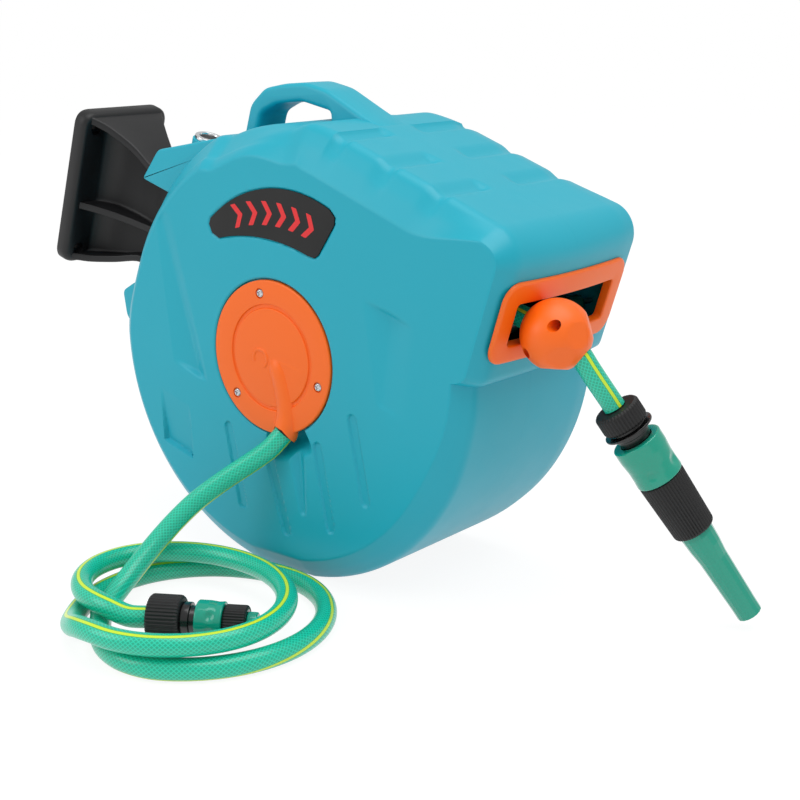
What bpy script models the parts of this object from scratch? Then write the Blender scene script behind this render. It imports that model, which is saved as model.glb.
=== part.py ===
"""A wall-mounted retractable hose reel with its inlet hose and spray nozzle, in metres.

The reel is drawn in its own frame: X points out of the mouth, Y runs along the drum's axis
and Z points up as the reel hangs on a wall. The stand then leans it nose down, as it rests
on a floor in front of its coiled inlet hose.
"""

import math
from functools import partial

import bmesh
import bpy
import numpy as np
from mathutils import Matrix, Vector

mm = 0.001
FIT = 0.3 * mm
THIN = 0.15 * mm

# Stance on the floor
LEAN = math.radians(17)
AXLE_X = 43.2 * mm
FLOOR_DROP = 178 * mm

# Case shell, two halves that meet at the middle
CASE_RADIUS = 180 * mm
CASE_HALF_WIDTH = 86 * mm
WALL = 3.2 * mm
FRONT_X = 177 * mm
FRONT_BOW = 4.5 * mm
SHELF_Z = 67 * mm
NOSE_RADIUS = 24 * mm
TOP_SLOPE = 0.0577
SIDE_INSET = 19 * mm
TOP_INSET = 31 * mm
NOSE_INSET = 8 * mm
FRONT_INSET = 6 * mm
SHELF_INSET = 10 * mm
SHOULDER = 70 * mm
HANDLE_DIP = 5.5 * mm
REAR_INSET = 25 * mm
FAR_SHARE = 0.12
CHANNEL_DEPTH = 12 * mm
CHANNEL_HALF_WIDTH = 50 * mm

# Round seats in both sides, and the covers that close them
COVER_RADIUS = 60 * mm
COVER_THICKNESS = 5 * mm
SEAT_DEPTH = 4.5 * mm
SEAT_GAP = 1.5 * mm
SIDE_HOLE_RADIUS = 44 * mm
COVER_SCREW_CIRCLE = 50 * mm
COVER_PROUD = 7.5 * mm
GROOVE_RADIUS = 40 * mm
GROOVE_WIDTH = 3.5 * mm
GROOVE_DEPTH = 1 * mm
RELIEF_DEPTH = 14.4 * mm
RELIEF_RADIUS = 80 * mm

# Screws
SCREW_RADIUS = 1.9 * mm
SCREW_HEAD_RADIUS = 3.8 * mm
SCREW_HEAD_HEIGHT = 1.6 * mm
BOSS_RADIUS = 5 * mm
BOSS_CIRCLE = 165 * mm
CASE_SCREW_LENGTH = 26 * mm

# Carrying handle and hinge lugs
HANDLE_HALF_WIDTH = 17.5 * mm
LUG_HALF_WIDTH = 46 * mm
PIVOT_X = -187 * mm
PIN_RADIUS = 5 * mm
PIN_HEAD_RADIUS = 12 * mm
PIN_HEAD_HEIGHT = 3 * mm
PIN_BOSS_RADIUS = 13.5 * mm
PIN_BOSS_TOP = 99.7 * mm
PIN_BOTTOM = -66 * mm

# Wall bracket
ARM_FLANGE = 6.5 * mm
MIDDLE_FLANGE = (1 * mm, 7 * mm)
BARREL_RADIUS = 11 * mm
BARREL_LOW = -29.7 * mm
BARREL_HIGH = 59.7 * mm
PLATE_BACK = -301.6 * mm
PLATE_THICKNESS = 14 * mm
PLATE_HALF_WIDTH = 47.8 * mm
PLATE_LOW = -51.7 * mm
PLATE_HIGH = 88.5 * mm
PLATE_CORNER = 10 * mm
PLATE_HOLE_RADIUS = 2.75 * mm
PLATE_HOLE_EDGE = 14 * mm

# Mouth, its bezel and the guide rollers
MOUTH_Z = 107 * mm
MOUTH_HALF_WIDTH = 62 * mm
MOUTH_HALF_HEIGHT = 16 * mm
BEZEL_HALF_WIDTH = 78 * mm
BEZEL_LOW = 77.4 * mm
BEZEL_HIGH = 139.2 * mm
BEZEL_THICKNESS = 2.7 * mm
BEZEL_CORNER = 14 * mm
BEZEL_LIP = 1.7 * mm
BEZEL_DEPTH = 9.3 * mm
ROLLER_X = 158 * mm
ROLLER_RADIUS = 7 * mm
ROLLER_HALF_LENGTH = 65 * mm
ROLLER_PIN_RADIUS = 2.5 * mm

# Hose
HOSE_RADIUS = 8 * mm

# Drum and what turns with it
CORE_RADIUS = 60 * mm
CORE_WALL = 3 * mm
FLANGE_RADIUS = 158 * mm
FLANGE_THICKNESS = 3 * mm
DRUM_LEFT = -62.5 * mm
DRUM_RIGHT = 60.5 * mm
HUB_RADIUS = 18 * mm
HUB_LENGTH = 12.5 * mm
WINDING_RADIUS = 100.3 * mm
WINDING_PITCH = 16.63 * mm
WINDING_TURNS = 5
WINDING_POINTS_A_TURN = 22
WINDING_START = 49 * mm
LAYER_GAP = 1.3 * mm
SPRING_CASE_RADIUS = 52 * mm
SPRING_CASE_DEPTH = 16.2 * mm
SPRING_CASE_WALL = 1.5 * mm
SPRING_TURNS = 3
SPRING_BAND = 0.8 * mm
ARBOR_RADIUS = 9 * mm
RATCHET_RADIUS = 40 * mm
RATCHET_ROOT = 34 * mm
RATCHET_TEETH = 12
RATCHET_THICKNESS = 3 * mm
RATCHET_BORE = 14 * mm

# Pawl
PAWL_PIVOT = (-34 * mm, 53 * mm)
PAWL_TIP_ANGLE = math.radians(95)
PAWL_PIN_RADIUS = 2 * mm
PAWL_EYE_RADIUS = 5 * mm

# Inlet elbow
STUB_RADIUS = 11 * mm
ELBOW_RADIUS = 7.7 * mm
ELBOW_FLANGE_RADIUS = 20 * mm
ELBOW_FLANGE_THICKNESS = 3 * mm
SPOUT_WALL = 2 * mm

# Ball stop on the outlet hose
BALL_RADIUS = 25.5 * mm
BALL_SCREWS = ((10.5 * mm, 10.9 * mm), (-12 * mm, -11.5 * mm))

# Nozzle end, each length along its own axis
NUT_LENGTH = 15 * mm
NUT_RADIUS = 17 * mm
NECK_LENGTH = 12.3 * mm
NECK_RADIUS = 13 * mm
FLANGE_RIM = 18.5 * mm
SPIGOT_RADIUS = 12 * mm
COLLAR_LENGTH = 33 * mm
COLLAR_RADIUS = 18.3 * mm
GRIP_LENGTH = 47.5 * mm
GRIP_RADIUS = 17 * mm
TIP_LENGTH = 78.7 * mm
TIP_RADIUS = 9.5 * mm
WATER_BORE = 4.5 * mm
RIB_COUNT = 16
RIB_HEIGHT = 1 * mm

# Inlet end
INLET_NUT_LENGTH = 24 * mm
INLET_BODY_LENGTH = 30 * mm
INLET_RING_LENGTH = 16.5 * mm
INLET_END_LENGTH = 7 * mm
INLET_BODY_RADIUS = 14.5 * mm
INLET_RING_RADIUS = 12.5 * mm
INLET_END_RADIUS = 8 * mm

# Coil of the inlet hose on the floor: centre, radius and height of each turn
COIL_TURNS = 2.239
COIL_START_ANGLE = math.radians(222)
COIL_POINTS_A_TURN = 24
FIRST_TURN = (22 * mm, -191 * mm, 93 * mm)
SECOND_TURN = (24 * mm, -206 * mm, 80 * mm)
TAIL_TURN = (-17 * mm, -189 * mm, 60 * mm)
START_RADIUS = 71 * mm
LOW_LAYER = 8.3 * mm
HIGH_LAYER = 25.7 * mm
TAIL_LAYER = 20.5 * mm

# Badge plate on the left side
BADGE_DEPTH = 1.2 * mm
BADGE_OUTER = (5.6 * mm, 22.3 * mm, 110.4 * mm)
BADGE_INNER = (6.6 * mm, -70.8 * mm, 161 * mm)

PARTS = "hose_reel"
CUTTERS = "cutters"


def clear_scene():
    for thing in list(bpy.data.objects):
        bpy.data.objects.remove(thing, do_unlink=True)


def collection(name):
    group = bpy.data.collections.new(name)
    bpy.context.scene.collection.children.link(group)
    return group


def material(name, colour, roughness, metallic=0.0):
    finish = bpy.data.materials.new(name)
    finish.use_nodes = True
    shader = finish.node_tree.nodes["Principled BSDF"]
    shader.inputs["Base Color"].default_value = (*colour, 1.0)
    shader.inputs["Roughness"].default_value = roughness
    shader.inputs["Metallic"].default_value = metallic
    finish.diffuse_color = (*colour, 1.0)
    return finish


TEAL = ((0.018, 0.33, 0.38), 0.45, 0.0)
ORANGE = ((1.0, 0.19, 0.03), 0.45, 0.0)
BLACK = ((0.02, 0.02, 0.022), 0.5, 0.0)
GREEN = ((0.005, 0.36, 0.26), 0.4, 0.0)
HOSE_GREEN = ((0.01, 0.5, 0.36), 0.4, 0.0)
CHROME = ((0.8, 0.8, 0.8), 0.12, 1.0)
STEEL = ((0.55, 0.55, 0.56), 0.3, 1.0)
WHITE = ((0.75, 0.75, 0.72), 0.5, 0.0)
RUBBER = ((0.015, 0.015, 0.015), 0.8, 0.0)


def smooth(value, low, high):
    share = min(max((value - low) / (high - low), 0.0), 1.0)
    return share * share * (3 - 2 * share)


def dress(obj, look, angle=35):
    """Give an object its own material and smooth shading with crisp edges."""
    colour, roughness, metallic = look
    obj.data.materials.clear()
    obj.data.materials.append(material(obj.name, colour, roughness, metallic))
    obj.data.shade_smooth()
    obj.data.set_sharp_from_angle(angle=math.radians(angle))
    return obj


def add_object(name, data, group, parent=None, location=(0, 0, 0), rotation=(0, 0, 0)):
    obj = bpy.data.objects.new(name, data)
    bpy.data.collections[group].objects.link(obj)
    obj.parent = parent
    obj.location = location
    obj.rotation_euler = rotation
    if group == CUTTERS:
        obj.hide_render = True
        obj.display_type = "WIRE"
    return obj


def combine(target, other, operation, solver="EXACT"):
    """Join a piece to the target or cut it away."""
    change = target.modifiers.new(operation.title() + " " + other.name, "BOOLEAN")
    change.operation = operation
    change.object = other
    change.solver = solver
    return target


def turned(name, profile, steps, group, parent=None, location=(0, 0, 0), rotation=(0, 0, 0)):
    """Turn a closed outline of (radius, height) about the local Z axis."""
    ring = list(profile)
    area = sum(a[0] * b[1] - b[0] * a[1] for a, b in zip(ring, ring[1:] + ring[:1]))
    if area > 0:
        ring.reverse()
    count = len(ring)
    edges = []
    for i in range(count):
        j = (i + 1) % count
        if ring[i][0] > 1e-6 or ring[j][0] > 1e-6:
            edges.append((i, j))
    mesh = bpy.data.meshes.new(name)
    mesh.from_pydata([(r, 0.0, h) for r, h in ring], edges, [])
    obj = add_object(name, mesh, group, parent, location, rotation)
    spin = obj.modifiers.new("Turn", "SCREW")
    spin.steps = steps
    spin.render_steps = steps
    spin.use_merge_vertices = True
    spin.merge_threshold = 0.00001
    return obj


ALONG_Y = (-math.pi / 2, 0.0, 0.0)


def rod(name, radius, low, high, steps, group, parent=None, location=(0, 0, 0), rotation=(0, 0, 0)):
    outline = [(0, low), (radius, low), (radius, high), (0, high)]
    return turned(name, outline, steps, group, parent, location, rotation)


def pipe(name, radius, bore, low, high, steps, group, parent=None, location=(0, 0, 0), rotation=(0, 0, 0)):
    outline = [(bore, low), (radius, low), (radius, high), (bore, high)]
    return turned(name, outline, steps, group, parent, location, rotation)


def mesh_of_curve(curve_object):
    """Replace a curve object by its mesh with welded caps."""
    graph = bpy.context.evaluated_depsgraph_get()
    mesh = bpy.data.meshes.new_from_object(curve_object.evaluated_get(graph))
    work = bmesh.new()
    work.from_mesh(mesh)
    bmesh.ops.remove_doubles(work, verts=work.verts, dist=0.000005)
    bmesh.ops.recalc_face_normals(work, faces=work.faces)
    if work.calc_volume(signed=True) < 0:
        bmesh.ops.reverse_faces(work, faces=work.faces)
    work.to_mesh(mesh)
    work.free()
    name = curve_object.name
    group = curve_object.users_collection[0].name
    parent = curve_object.parent
    location = curve_object.location.copy()
    rotation = curve_object.rotation_euler.copy()
    bpy.data.objects.remove(curve_object, do_unlink=True)
    return add_object(name, mesh, group, parent, location, rotation)


def tube(name, points, radius, sides_level, group, parent=None):
    """A round tube with filled ends along a list of points."""
    curve = bpy.data.curves.new(name, "CURVE")
    curve.dimensions = "3D"
    curve.fill_mode = "FULL"
    curve.bevel_depth = radius
    curve.bevel_resolution = sides_level
    curve.use_fill_caps = True
    spline = curve.splines.new("POLY")
    spline.points.add(len(points) - 1)
    for point, place in zip(spline.points, points):
        point.co = (*place, 1.0)
    return mesh_of_curve(add_object(name, curve, group, parent))


UPRIGHT = (math.pi / 2, 0.0, 0.0)


def flat(name, outlines, low_y, high_y, group, parent=None):
    """A plate cut to (x, z) outlines; outlines after the first are holes."""
    curve = bpy.data.curves.new(name, "CURVE")
    curve.dimensions = "2D"
    curve.fill_mode = "BOTH"
    curve.extrude = (high_y - low_y) / 2
    for outline in outlines:
        spline = curve.splines.new("POLY")
        spline.points.add(len(outline) - 1)
        for point, place in zip(spline.points, outline):
            point.co = (place[0], place[1], 0.0, 1.0)
        spline.use_cyclic_u = True
    middle = (0.0, (low_y + high_y) / 2, 0.0)
    return mesh_of_curve(add_object(name, curve, group, parent, middle, UPRIGHT))


def box(name, low, high, group, parent=None):
    work = bmesh.new()
    bmesh.ops.create_cube(work, size=1.0)
    size = [h - l for l, h in zip(low, high)]
    centre = [(l + h) / 2 for l, h in zip(low, high)]
    bmesh.ops.scale(work, vec=size, verts=work.verts)
    bmesh.ops.translate(work, vec=centre, verts=work.verts)
    mesh = bpy.data.meshes.new(name)
    work.to_mesh(mesh)
    work.free()
    return add_object(name, mesh, group, parent)


def arc(centre, radius, first, last, steps):
    angles = [math.radians(first + (last - first) * i / steps) for i in range(steps + 1)]
    return [(centre[0] + radius * math.cos(a), centre[1] + radius * math.sin(a)) for a in angles]


def smooth_route(points, spacing):
    """Points at an even spacing on a smooth curve through the given points."""
    given = [Vector(p) for p in points]
    ends = [2 * given[0] - given[1], *given, 2 * given[-1] - given[-2]]
    fine = []
    for i in range(1, len(ends) - 2):
        p0, p1, p2, p3 = ends[i - 1:i + 3]
        for k in range(12):
            t = k / 12
            fine.append(0.5 * (2 * p1 + (p2 - p0) * t + (2 * p0 - 5 * p1 + 4 * p2 - p3) * t ** 2
                               + (3 * p1 - p0 - 3 * p2 + p3) * t ** 3))
    fine.append(given[-1])
    lengths = np.cumsum([0.0] + [(b - a).length for a, b in zip(fine, fine[1:])])
    count = max(int(round(lengths[-1] / spacing)), 2)
    wanted = np.linspace(0.0, lengths[-1], count + 1)
    table = np.array([tuple(p) for p in fine])
    return [Vector([np.interp(w, lengths, table[:, k]) for k in range(3)]) for w in wanted]


def squared_route(points, spacing, first=None, last=None, straight=8 * mm):
    """A smooth route whose ends run straight along the given headings."""
    inner = [Vector(p) for p in points]
    start, finish = inner[0], inner[-1]
    near = straight + 0.4 * spacing
    if first:
        inner.insert(1, start + straight * first)
    if last:
        inner.insert(-1, finish - straight * last)
    route = smooth_route(inner, spacing)
    if first:
        route = [start, inner[1]] + [p for p in route if (p - start).length > near]
    if last:
        route = [p for p in route if (p - finish).length > near] + [inner[-2], finish]
    return route


def route_length(points):
    return sum((b - a).length for a, b in zip(points, points[1:]))


def least_self_gap(points, radius, apart):
    """The least gap between stretches of a tube that lie far apart along it."""
    fine = []
    for a, b in zip(points, points[1:]):
        fine += [tuple(a.lerp(b, k / 4)) for k in range(4)]
    table = np.array(fine)
    along = np.cumsum(np.r_[0.0, np.linalg.norm(np.diff(table, axis=0), axis=1)])
    gaps = np.linalg.norm(table[:, None] - table[None], axis=2)
    gaps[np.abs(along[:, None] - along[None]) < apart] = np.inf
    return gaps.min() - 2 * radius


# Outline of the case


def spread(breaks, step):
    """Angles that hit every break and are no more than a step apart."""
    angles = []
    for low, high in zip(breaks, breaks[1:]):
        count = max(int(math.ceil((high - low) / step - 0.001)), 1)
        angles += [low + (high - low) * i / count for i in range(count)]
    return angles + [breaks[-1]]


FOOT_ANGLE = 270 + math.degrees(LEAN)
FOOT_HALF_ANGLE = math.degrees(math.acos(min(FLOOR_DROP / CASE_RADIUS, 1.0)))
SHELF_ANGLE = 378
ARC_STEP = 9.5
CHANNEL_FIRST = 155
CHANNEL_LAST = 200
RELIEF_ANGLE = 300
NOSE_CENTRE_X = FRONT_X - NOSE_RADIUS


def top_line(x):
    return CASE_RADIUS - TOP_SLOPE * x


NOSE_CENTRE_Z = top_line(NOSE_CENTRE_X) - NOSE_RADIUS / math.cos(math.atan(TOP_SLOPE))


def case_columns():
    """Outline of the case as (x, z, inset, bow share, channel share, slump) round the drum."""
    breaks = [90, 97, 104, 128, 134, CHANNEL_FIRST - 1, CHANNEL_FIRST + 1, CHANNEL_LAST - 1,
              CHANNEL_LAST + 1, FOOT_ANGLE - FOOT_HALF_ANGLE, FOOT_ANGLE, FOOT_ANGLE + FOOT_HALF_ANGLE,
              RELIEF_ANGLE + 16, RELIEF_ANGLE + 22, SHELF_ANGLE]
    columns = []
    for angle in spread(breaks, ARC_STEP):
        radius = CASE_RADIUS - HANDLE_DIP * smooth(angle, 97, 104) * (1 - smooth(angle, 128, 134))
        offset = math.radians(angle - FOOT_ANGLE)
        if abs(angle - FOOT_ANGLE) < FOOT_HALF_ANGLE - 0.01:
            radius = FLOOR_DROP / math.cos(offset)
        inset = SIDE_INSET + (TOP_INSET - SIDE_INSET) * (1 - smooth(angle, 90, 122))
        inset += (SHELF_INSET - SIDE_INSET) * smooth(angle, 345, SHELF_ANGLE)
        slump = smooth(angle, 97, 121) * (1 - smooth(angle, 176, 200))
        inset += (REAR_INSET - SIDE_INSET) * smooth(angle, 110, 130) * (1 - smooth(angle, 176, 200))
        channel = 1.0 if CHANNEL_FIRST < angle < CHANNEL_LAST else 0.0
        turn = math.radians(angle)
        columns.append((radius * math.cos(turn), radius * math.sin(turn), inset, 0.0, channel, slump))
    last_x, last_z = columns[-1][:2]
    middle = ((last_x + FRONT_X) / 2 + 1.5 * mm, (last_z + SHELF_Z) / 2 - 1 * mm)
    columns.append((*middle, SHELF_INSET, 0.4, 0.0, 0.0))
    for share in (0.0, 0.3, 0.7, 1.0):
        z = SHELF_Z + (NOSE_CENTRE_Z - SHELF_Z) * share
        columns.append((FRONT_X, z, FRONT_INSET, 1.0, 0.0, 0.0))
    end = 90 - math.degrees(math.atan(TOP_SLOPE))
    for share, bow in ((0.25, 0.9), (0.5, 0.6), (0.75, 0.25), (1.0, 0.0)):
        turn = math.radians(end * share)
        x = NOSE_CENTRE_X + NOSE_RADIUS * math.cos(turn)
        z = NOSE_CENTRE_Z + NOSE_RADIUS * math.sin(turn)
        columns.append((x, z, NOSE_INSET + 6 * mm * share, bow, 0.0, 0.0))
    reach = columns[-1][0]
    for share in (0.85, 0.68, 0.5, 0.33, 0.16):
        x = reach * share
        inset = NOSE_INSET + (TOP_INSET - NOSE_INSET) * (1 - smooth(share, 0.6, 1.1))
        columns.append((x, top_line(x), inset, 0.0, 0.0, 0.0))
    return columns


def side_rows():
    """Rows from the middle to the side as (half width, share of the inset, slump, in the channel)."""
    slope = CASE_HALF_WIDTH - SHOULDER
    return [(-OVERRUN, 0.0, 0.0, True), (CHANNEL_HALF_WIDTH, 0.0, 0.0, True),
            (CHANNEL_HALF_WIDTH + 2 * mm, 0.0, 0.0, False), (SHOULDER - 0.6 * slope, 0.0, 0.1, False),
            (SHOULDER, 0.0, 0.4, False), (SHOULDER + 0.44 * slope, 0.27, 0.25, False),
            (SHOULDER + 0.82 * slope, 0.66, 0.1, False), (CASE_HALF_WIDTH, 1.0, 0.0, False)]


SEAT_RADIUS = COVER_RADIUS + SEAT_GAP
SEAT_FLOOR = CASE_HALF_WIDTH - SEAT_DEPTH
RELIEF_FLOOR = CASE_HALF_WIDTH - RELIEF_DEPTH
OVERRUN = 1 * mm


def in_relief(angle):
    return abs((angle - RELIEF_ANGLE + 180) % 360 - 180) < 19


def case_half(name, side, parent):
    """Half of the case as an open surface with a wall, from the middle to the rim of its side hole."""
    columns = case_columns()
    count = len(columns)
    rings = []
    for half, share, droop, channelled in side_rows():
        ring = []
        for i, (x, z, inset, bow, channel, slump) in enumerate(columns):
            before = columns[i - 1]
            after = columns[(i + 1) % count]
            along = Vector((after[0] - before[0], after[1] - before[1])).normalized()
            inward = Vector((-along.y, along.x))
            depth = (share + droop * slump) * inset * (1.0 if side < 0 else FAR_SHARE)
            depth += CHANNEL_DEPTH * channel if channelled else 0.0
            forward = FRONT_BOW * bow * (1 - (half / CASE_HALF_WIDTH) ** 2)
            ring.append((x + inward.x * depth + forward, side * half, z + inward.y * depth))
        rings.append(ring)
    edge = rings[-1]
    angles = [math.atan2(z, x) for x, y, z in edge]
    left = side < 0

    def level(angle, height, lowered):
        cut = left and lowered and in_relief(math.degrees(angle))
        return side * (RELIEF_FLOOR if cut else height)

    seat = [(SEAT_RADIUS, CASE_HALF_WIDTH, True), (SEAT_RADIUS - 0.5 * mm, SEAT_FLOOR, True),
            (SIDE_HOLE_RADIUS, SEAT_FLOOR, True)]
    if left:
        seat.insert(0, (RELIEF_RADIUS, CASE_HALF_WIDTH, False))
    for radius, height, lowered in seat:
        rings.append([(radius * math.cos(a), level(a, height, lowered), radius * math.sin(a))
                      for a in angles])
    work = bmesh.new()
    grid = [[work.verts.new(place) for place in ring] for ring in rings]
    for low, high in zip(grid, grid[1:]):
        for i in range(count):
            j = (i + 1) % count
            corners = (low[i], low[j], high[j], high[i])
            work.faces.new(corners if left else corners[::-1])
    mesh = bpy.data.meshes.new(name)
    work.to_mesh(mesh)
    work.free()
    obj = add_object(name, mesh, PARTS, parent)
    wall = obj.modifiers.new("Wall", "SOLIDIFY")
    wall.thickness = WALL
    wall.offset = -1.0
    wall.use_even_offset = True
    return obj


def lug_outlines():
    """Hinge lugs above and below the bracket's barrel."""
    upper = [(-211, 60), (-199, 90), (-128, 127.5), (-126, 123), (-155.3, 60)]
    lower = [(-163, -30), (-199, -30), (-212, -44), (-202, -64), (-190, -70), (-165, -72), (-160, -70)]
    return [[(x * mm, z * mm) for x, z in ring] for ring in (upper, lower)]


def handle_outline():
    """Side view of the carrying handle, whose foot runs inside the case wall."""
    top = [(-134, 116.1), (-134, 151), (-123, 168), (-103, 178.5), (-82, 186.5), (-60, 188.5),
           (-20, 182), (0, 179.3)]
    foot = [(0, 178), (-24, 175.8), (-44, 167.5), (-49.5, 168.5), (-52, 174), (-83, 171), (-108, 160),
            (-121, 148), (-121, 129.8), (-126, 125)]
    return [(x * mm, z * mm) for x, z in top + foot]


def boss_places():
    """Centres of the six bosses that the case screws draw together."""
    places = [(BOSS_CIRCLE * math.cos(math.radians(a)), BOSS_CIRCLE * math.sin(math.radians(a)))
              for a in (96, 215, 250, 310, 350)]
    return places + [(FRONT_X - 42 * mm, BEZEL_HIGH + 4 * mm)]


def cover_screw_places(side):
    turn = 0 if side < 0 else 60
    return [(COVER_SCREW_CIRCLE * math.cos(math.radians(a + turn)),
             COVER_SCREW_CIRCLE * math.sin(math.radians(a + turn))) for a in (-1, 119, 239)]


def badge_outline(shrink):
    """The curved badge: two arcs with rounded corners."""
    outer_centre, outer = BADGE_OUTER[:2], BADGE_OUTER[2] - shrink
    inner_centre, inner = BADGE_INNER[:2], BADGE_INNER[2] + shrink
    ring = arc(outer_centre, outer, 147.5, 81, 9)
    ring += [(29.4 * mm - shrink, 127.5 * mm), (30.6 * mm - shrink, 122 * mm)]
    ring += [(22.6 * mm - shrink, 95 * mm), (19.5 * mm - shrink, 91.2 * mm)]
    ring += arc(inner_centre, inner, 88, 121, 6)
    ring += [(x * mm + shrink, z * mm) for x, z in ((-84.5, 68.5), (-89.5, 74), (-89.3, 79))]
    return ring


def case(parent):
    """Both halves of the case with lugs, handle, bosses, bores and the mouth."""
    shaped = partial(combine, solver="MANIFOLD")
    bore_high = PIN_BOSS_TOP + 20 * mm
    pivot = (PIVOT_X, 0, 0)
    pin_bore = rod("pin_bore", PIN_RADIUS + 2 * FIT, PIN_BOTTOM - 20 * mm, bore_high, 16, CUTTERS,
                   parent, pivot)
    head_room = rod("pin_head_room", PIN_BOSS_RADIUS + 0.7 * mm, PIN_BOSS_TOP, bore_high, 20, CUTTERS,
                    parent, pivot)
    reach = MOUTH_HALF_WIDTH + 2 * mm
    rise = MOUTH_HALF_HEIGHT + 2.4 * mm
    mouth_cut = box("mouth_cut", (FRONT_X - 17 * mm, -reach, MOUTH_Z - rise),
                    (FRONT_X + 20 * mm, reach, MOUTH_Z + rise), CUTTERS, parent)
    pin_boss = rod("pin_boss", PIN_BOSS_RADIUS, BARREL_HIGH + 12 * mm, PIN_BOSS_TOP + 2 * mm, 20,
                   CUTTERS, parent, pivot)
    halves = []
    for name, side in (("left_housing", -1), ("right_housing", 1)):
        half = case_half(name, side, parent)
        for i, outline in enumerate(lug_outlines()):
            ends = sorted((-side * (OVERRUN + (i + 1) * 0.2 * mm), side * LUG_HALF_WIDTH))
            shaped(half, flat(f"{name}_lug_{i}", [outline], *ends, CUTTERS, parent), "UNION")
        ends = sorted((-side * (OVERRUN + 0.6 * mm), side * HANDLE_HALF_WIDTH))
        shaped(half, flat(f"{name}_handle", [handle_outline()], *ends, CUTTERS, parent), "UNION")
        shaped(half, pin_boss, "UNION")
        for i, (x, z) in enumerate(boss_places()):
            under_wall = 0.6 * WALL
            if side < 0 and i < 5:
                under_wall = 3 * WALL if i == 0 else 2 * WALL
            ends = sorted((-side * (OVERRUN + 0.8 * mm), side * (CASE_HALF_WIDTH - under_wall)))
            boss = rod(f"{name}_boss_{i}", BOSS_RADIUS, *ends, 10, CUTTERS, parent, (x, 0, z), ALONG_Y)
            shaped(half, boss, "UNION")
        shaped(half, head_room, "DIFFERENCE")
        shaped(half, pin_bore, "DIFFERENCE")
        shaped(half, mouth_cut, "DIFFERENCE")
        for i, (x, z) in enumerate(cover_screw_places(side)):
            ends = sorted((side * (SEAT_FLOOR - 12 * mm), side * (SEAT_FLOOR + 2 * mm)))
            hole = rod(f"{name}_seat_hole_{i}", SCREW_RADIUS + FIT, *ends, 8, CUTTERS, parent,
                       (x, 0, z), ALONG_Y)
            shaped(half, hole, "DIFFERENCE")
        if side < 0:
            over = box(f"{name}_trim", (-0.4, -THIN, -0.4), (0.4, 0.3, 0.4), CUTTERS, parent)
        else:
            over = box(f"{name}_trim", (-0.4, -0.3, -0.4), (0.4, THIN, 0.4), CUTTERS, parent)
        shaped(half, over, "DIFFERENCE")
        halves.append(half)
    left, right = halves
    for i, (x, z) in enumerate(boss_places()):
        pilot = rod(f"pilot_{i}", SCREW_RADIUS + FIT, -CASE_SCREW_LENGTH / 2 - 2 * mm, 3 * mm, 8, CUTTERS,
                    parent, (x, 0, z), ALONG_Y)
        shaped(left, pilot, "DIFFERENCE")
        head = CASE_SCREW_LENGTH / 2
        outline = [(0, -3 * mm), (SCREW_RADIUS + FIT, -3 * mm), (SCREW_RADIUS + FIT, head - FIT),
                   (BOSS_RADIUS - 0.9 * mm, head - FIT), (BOSS_RADIUS - 0.9 * mm, 1.2 * CASE_HALF_WIDTH),
                   (0, 1.2 * CASE_HALF_WIDTH)]
        step = turned(f"screw_well_{i}", outline, 8, CUTTERS, parent, (x, 0, z), ALONG_Y)
        shaped(right, step, "DIFFERENCE")
    recess = flat("badge_recess", [badge_outline(0.0)], -CASE_HALF_WIDTH - 5 * mm,
                  -CASE_HALF_WIDTH + BADGE_DEPTH + FIT, CUTTERS, parent)
    shaped(left, recess, "DIFFERENCE")
    dress(left, TEAL)
    dress(right, TEAL)
    side = -CASE_HALF_WIDTH
    dress(flat("badge", [badge_outline(FIT)], side, side + BADGE_DEPTH, PARTS, parent), BLACK)


def case_screws(parent):
    for i, (x, z) in enumerate(boss_places()):
        head = CASE_SCREW_LENGTH / 2
        outline = [(0, -head), (SCREW_RADIUS, -head), (SCREW_RADIUS, head),
                   (SCREW_HEAD_RADIUS, head), (SCREW_HEAD_RADIUS, head + SCREW_HEAD_HEIGHT),
                   (0, head + SCREW_HEAD_HEIGHT)]
        dress(turned(f"case_screw_{i + 1}", outline, 8, PARTS, parent, (x, 0, z), ALONG_Y), STEEL)


def elbow_route():
    """The inlet elbow's line from the drum's axis, under the cover, to its mouth."""
    mouth, heading = spout_mouth()
    inner = [(0, -68, 0), (1, -74.4, -1.5), (7, -78.3, -6.5), (14, -78.9, -15.5), (22.4, -79.2, -30.1),
             (26.4, -80.5, -41.2)]
    route = [Vector(p) * mm for p in inner] + [mouth - FIT * heading]
    return squared_route(route, 4 * mm, last=heading, straight=3 * mm)


def spout_mouth():
    """Where the inlet hose leaves the cover and its heading there, in the reel's frame."""
    points = [reel_place(p) for p in inlet_points()[:2]]
    return points[0], (points[1] - points[0]).normalized()


def reel_place(place):
    """A point of the level frame in the leaning reel's frame."""
    return Matrix.Rotation(LEAN, 3, "Y").transposed() @ Vector(place)


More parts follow.
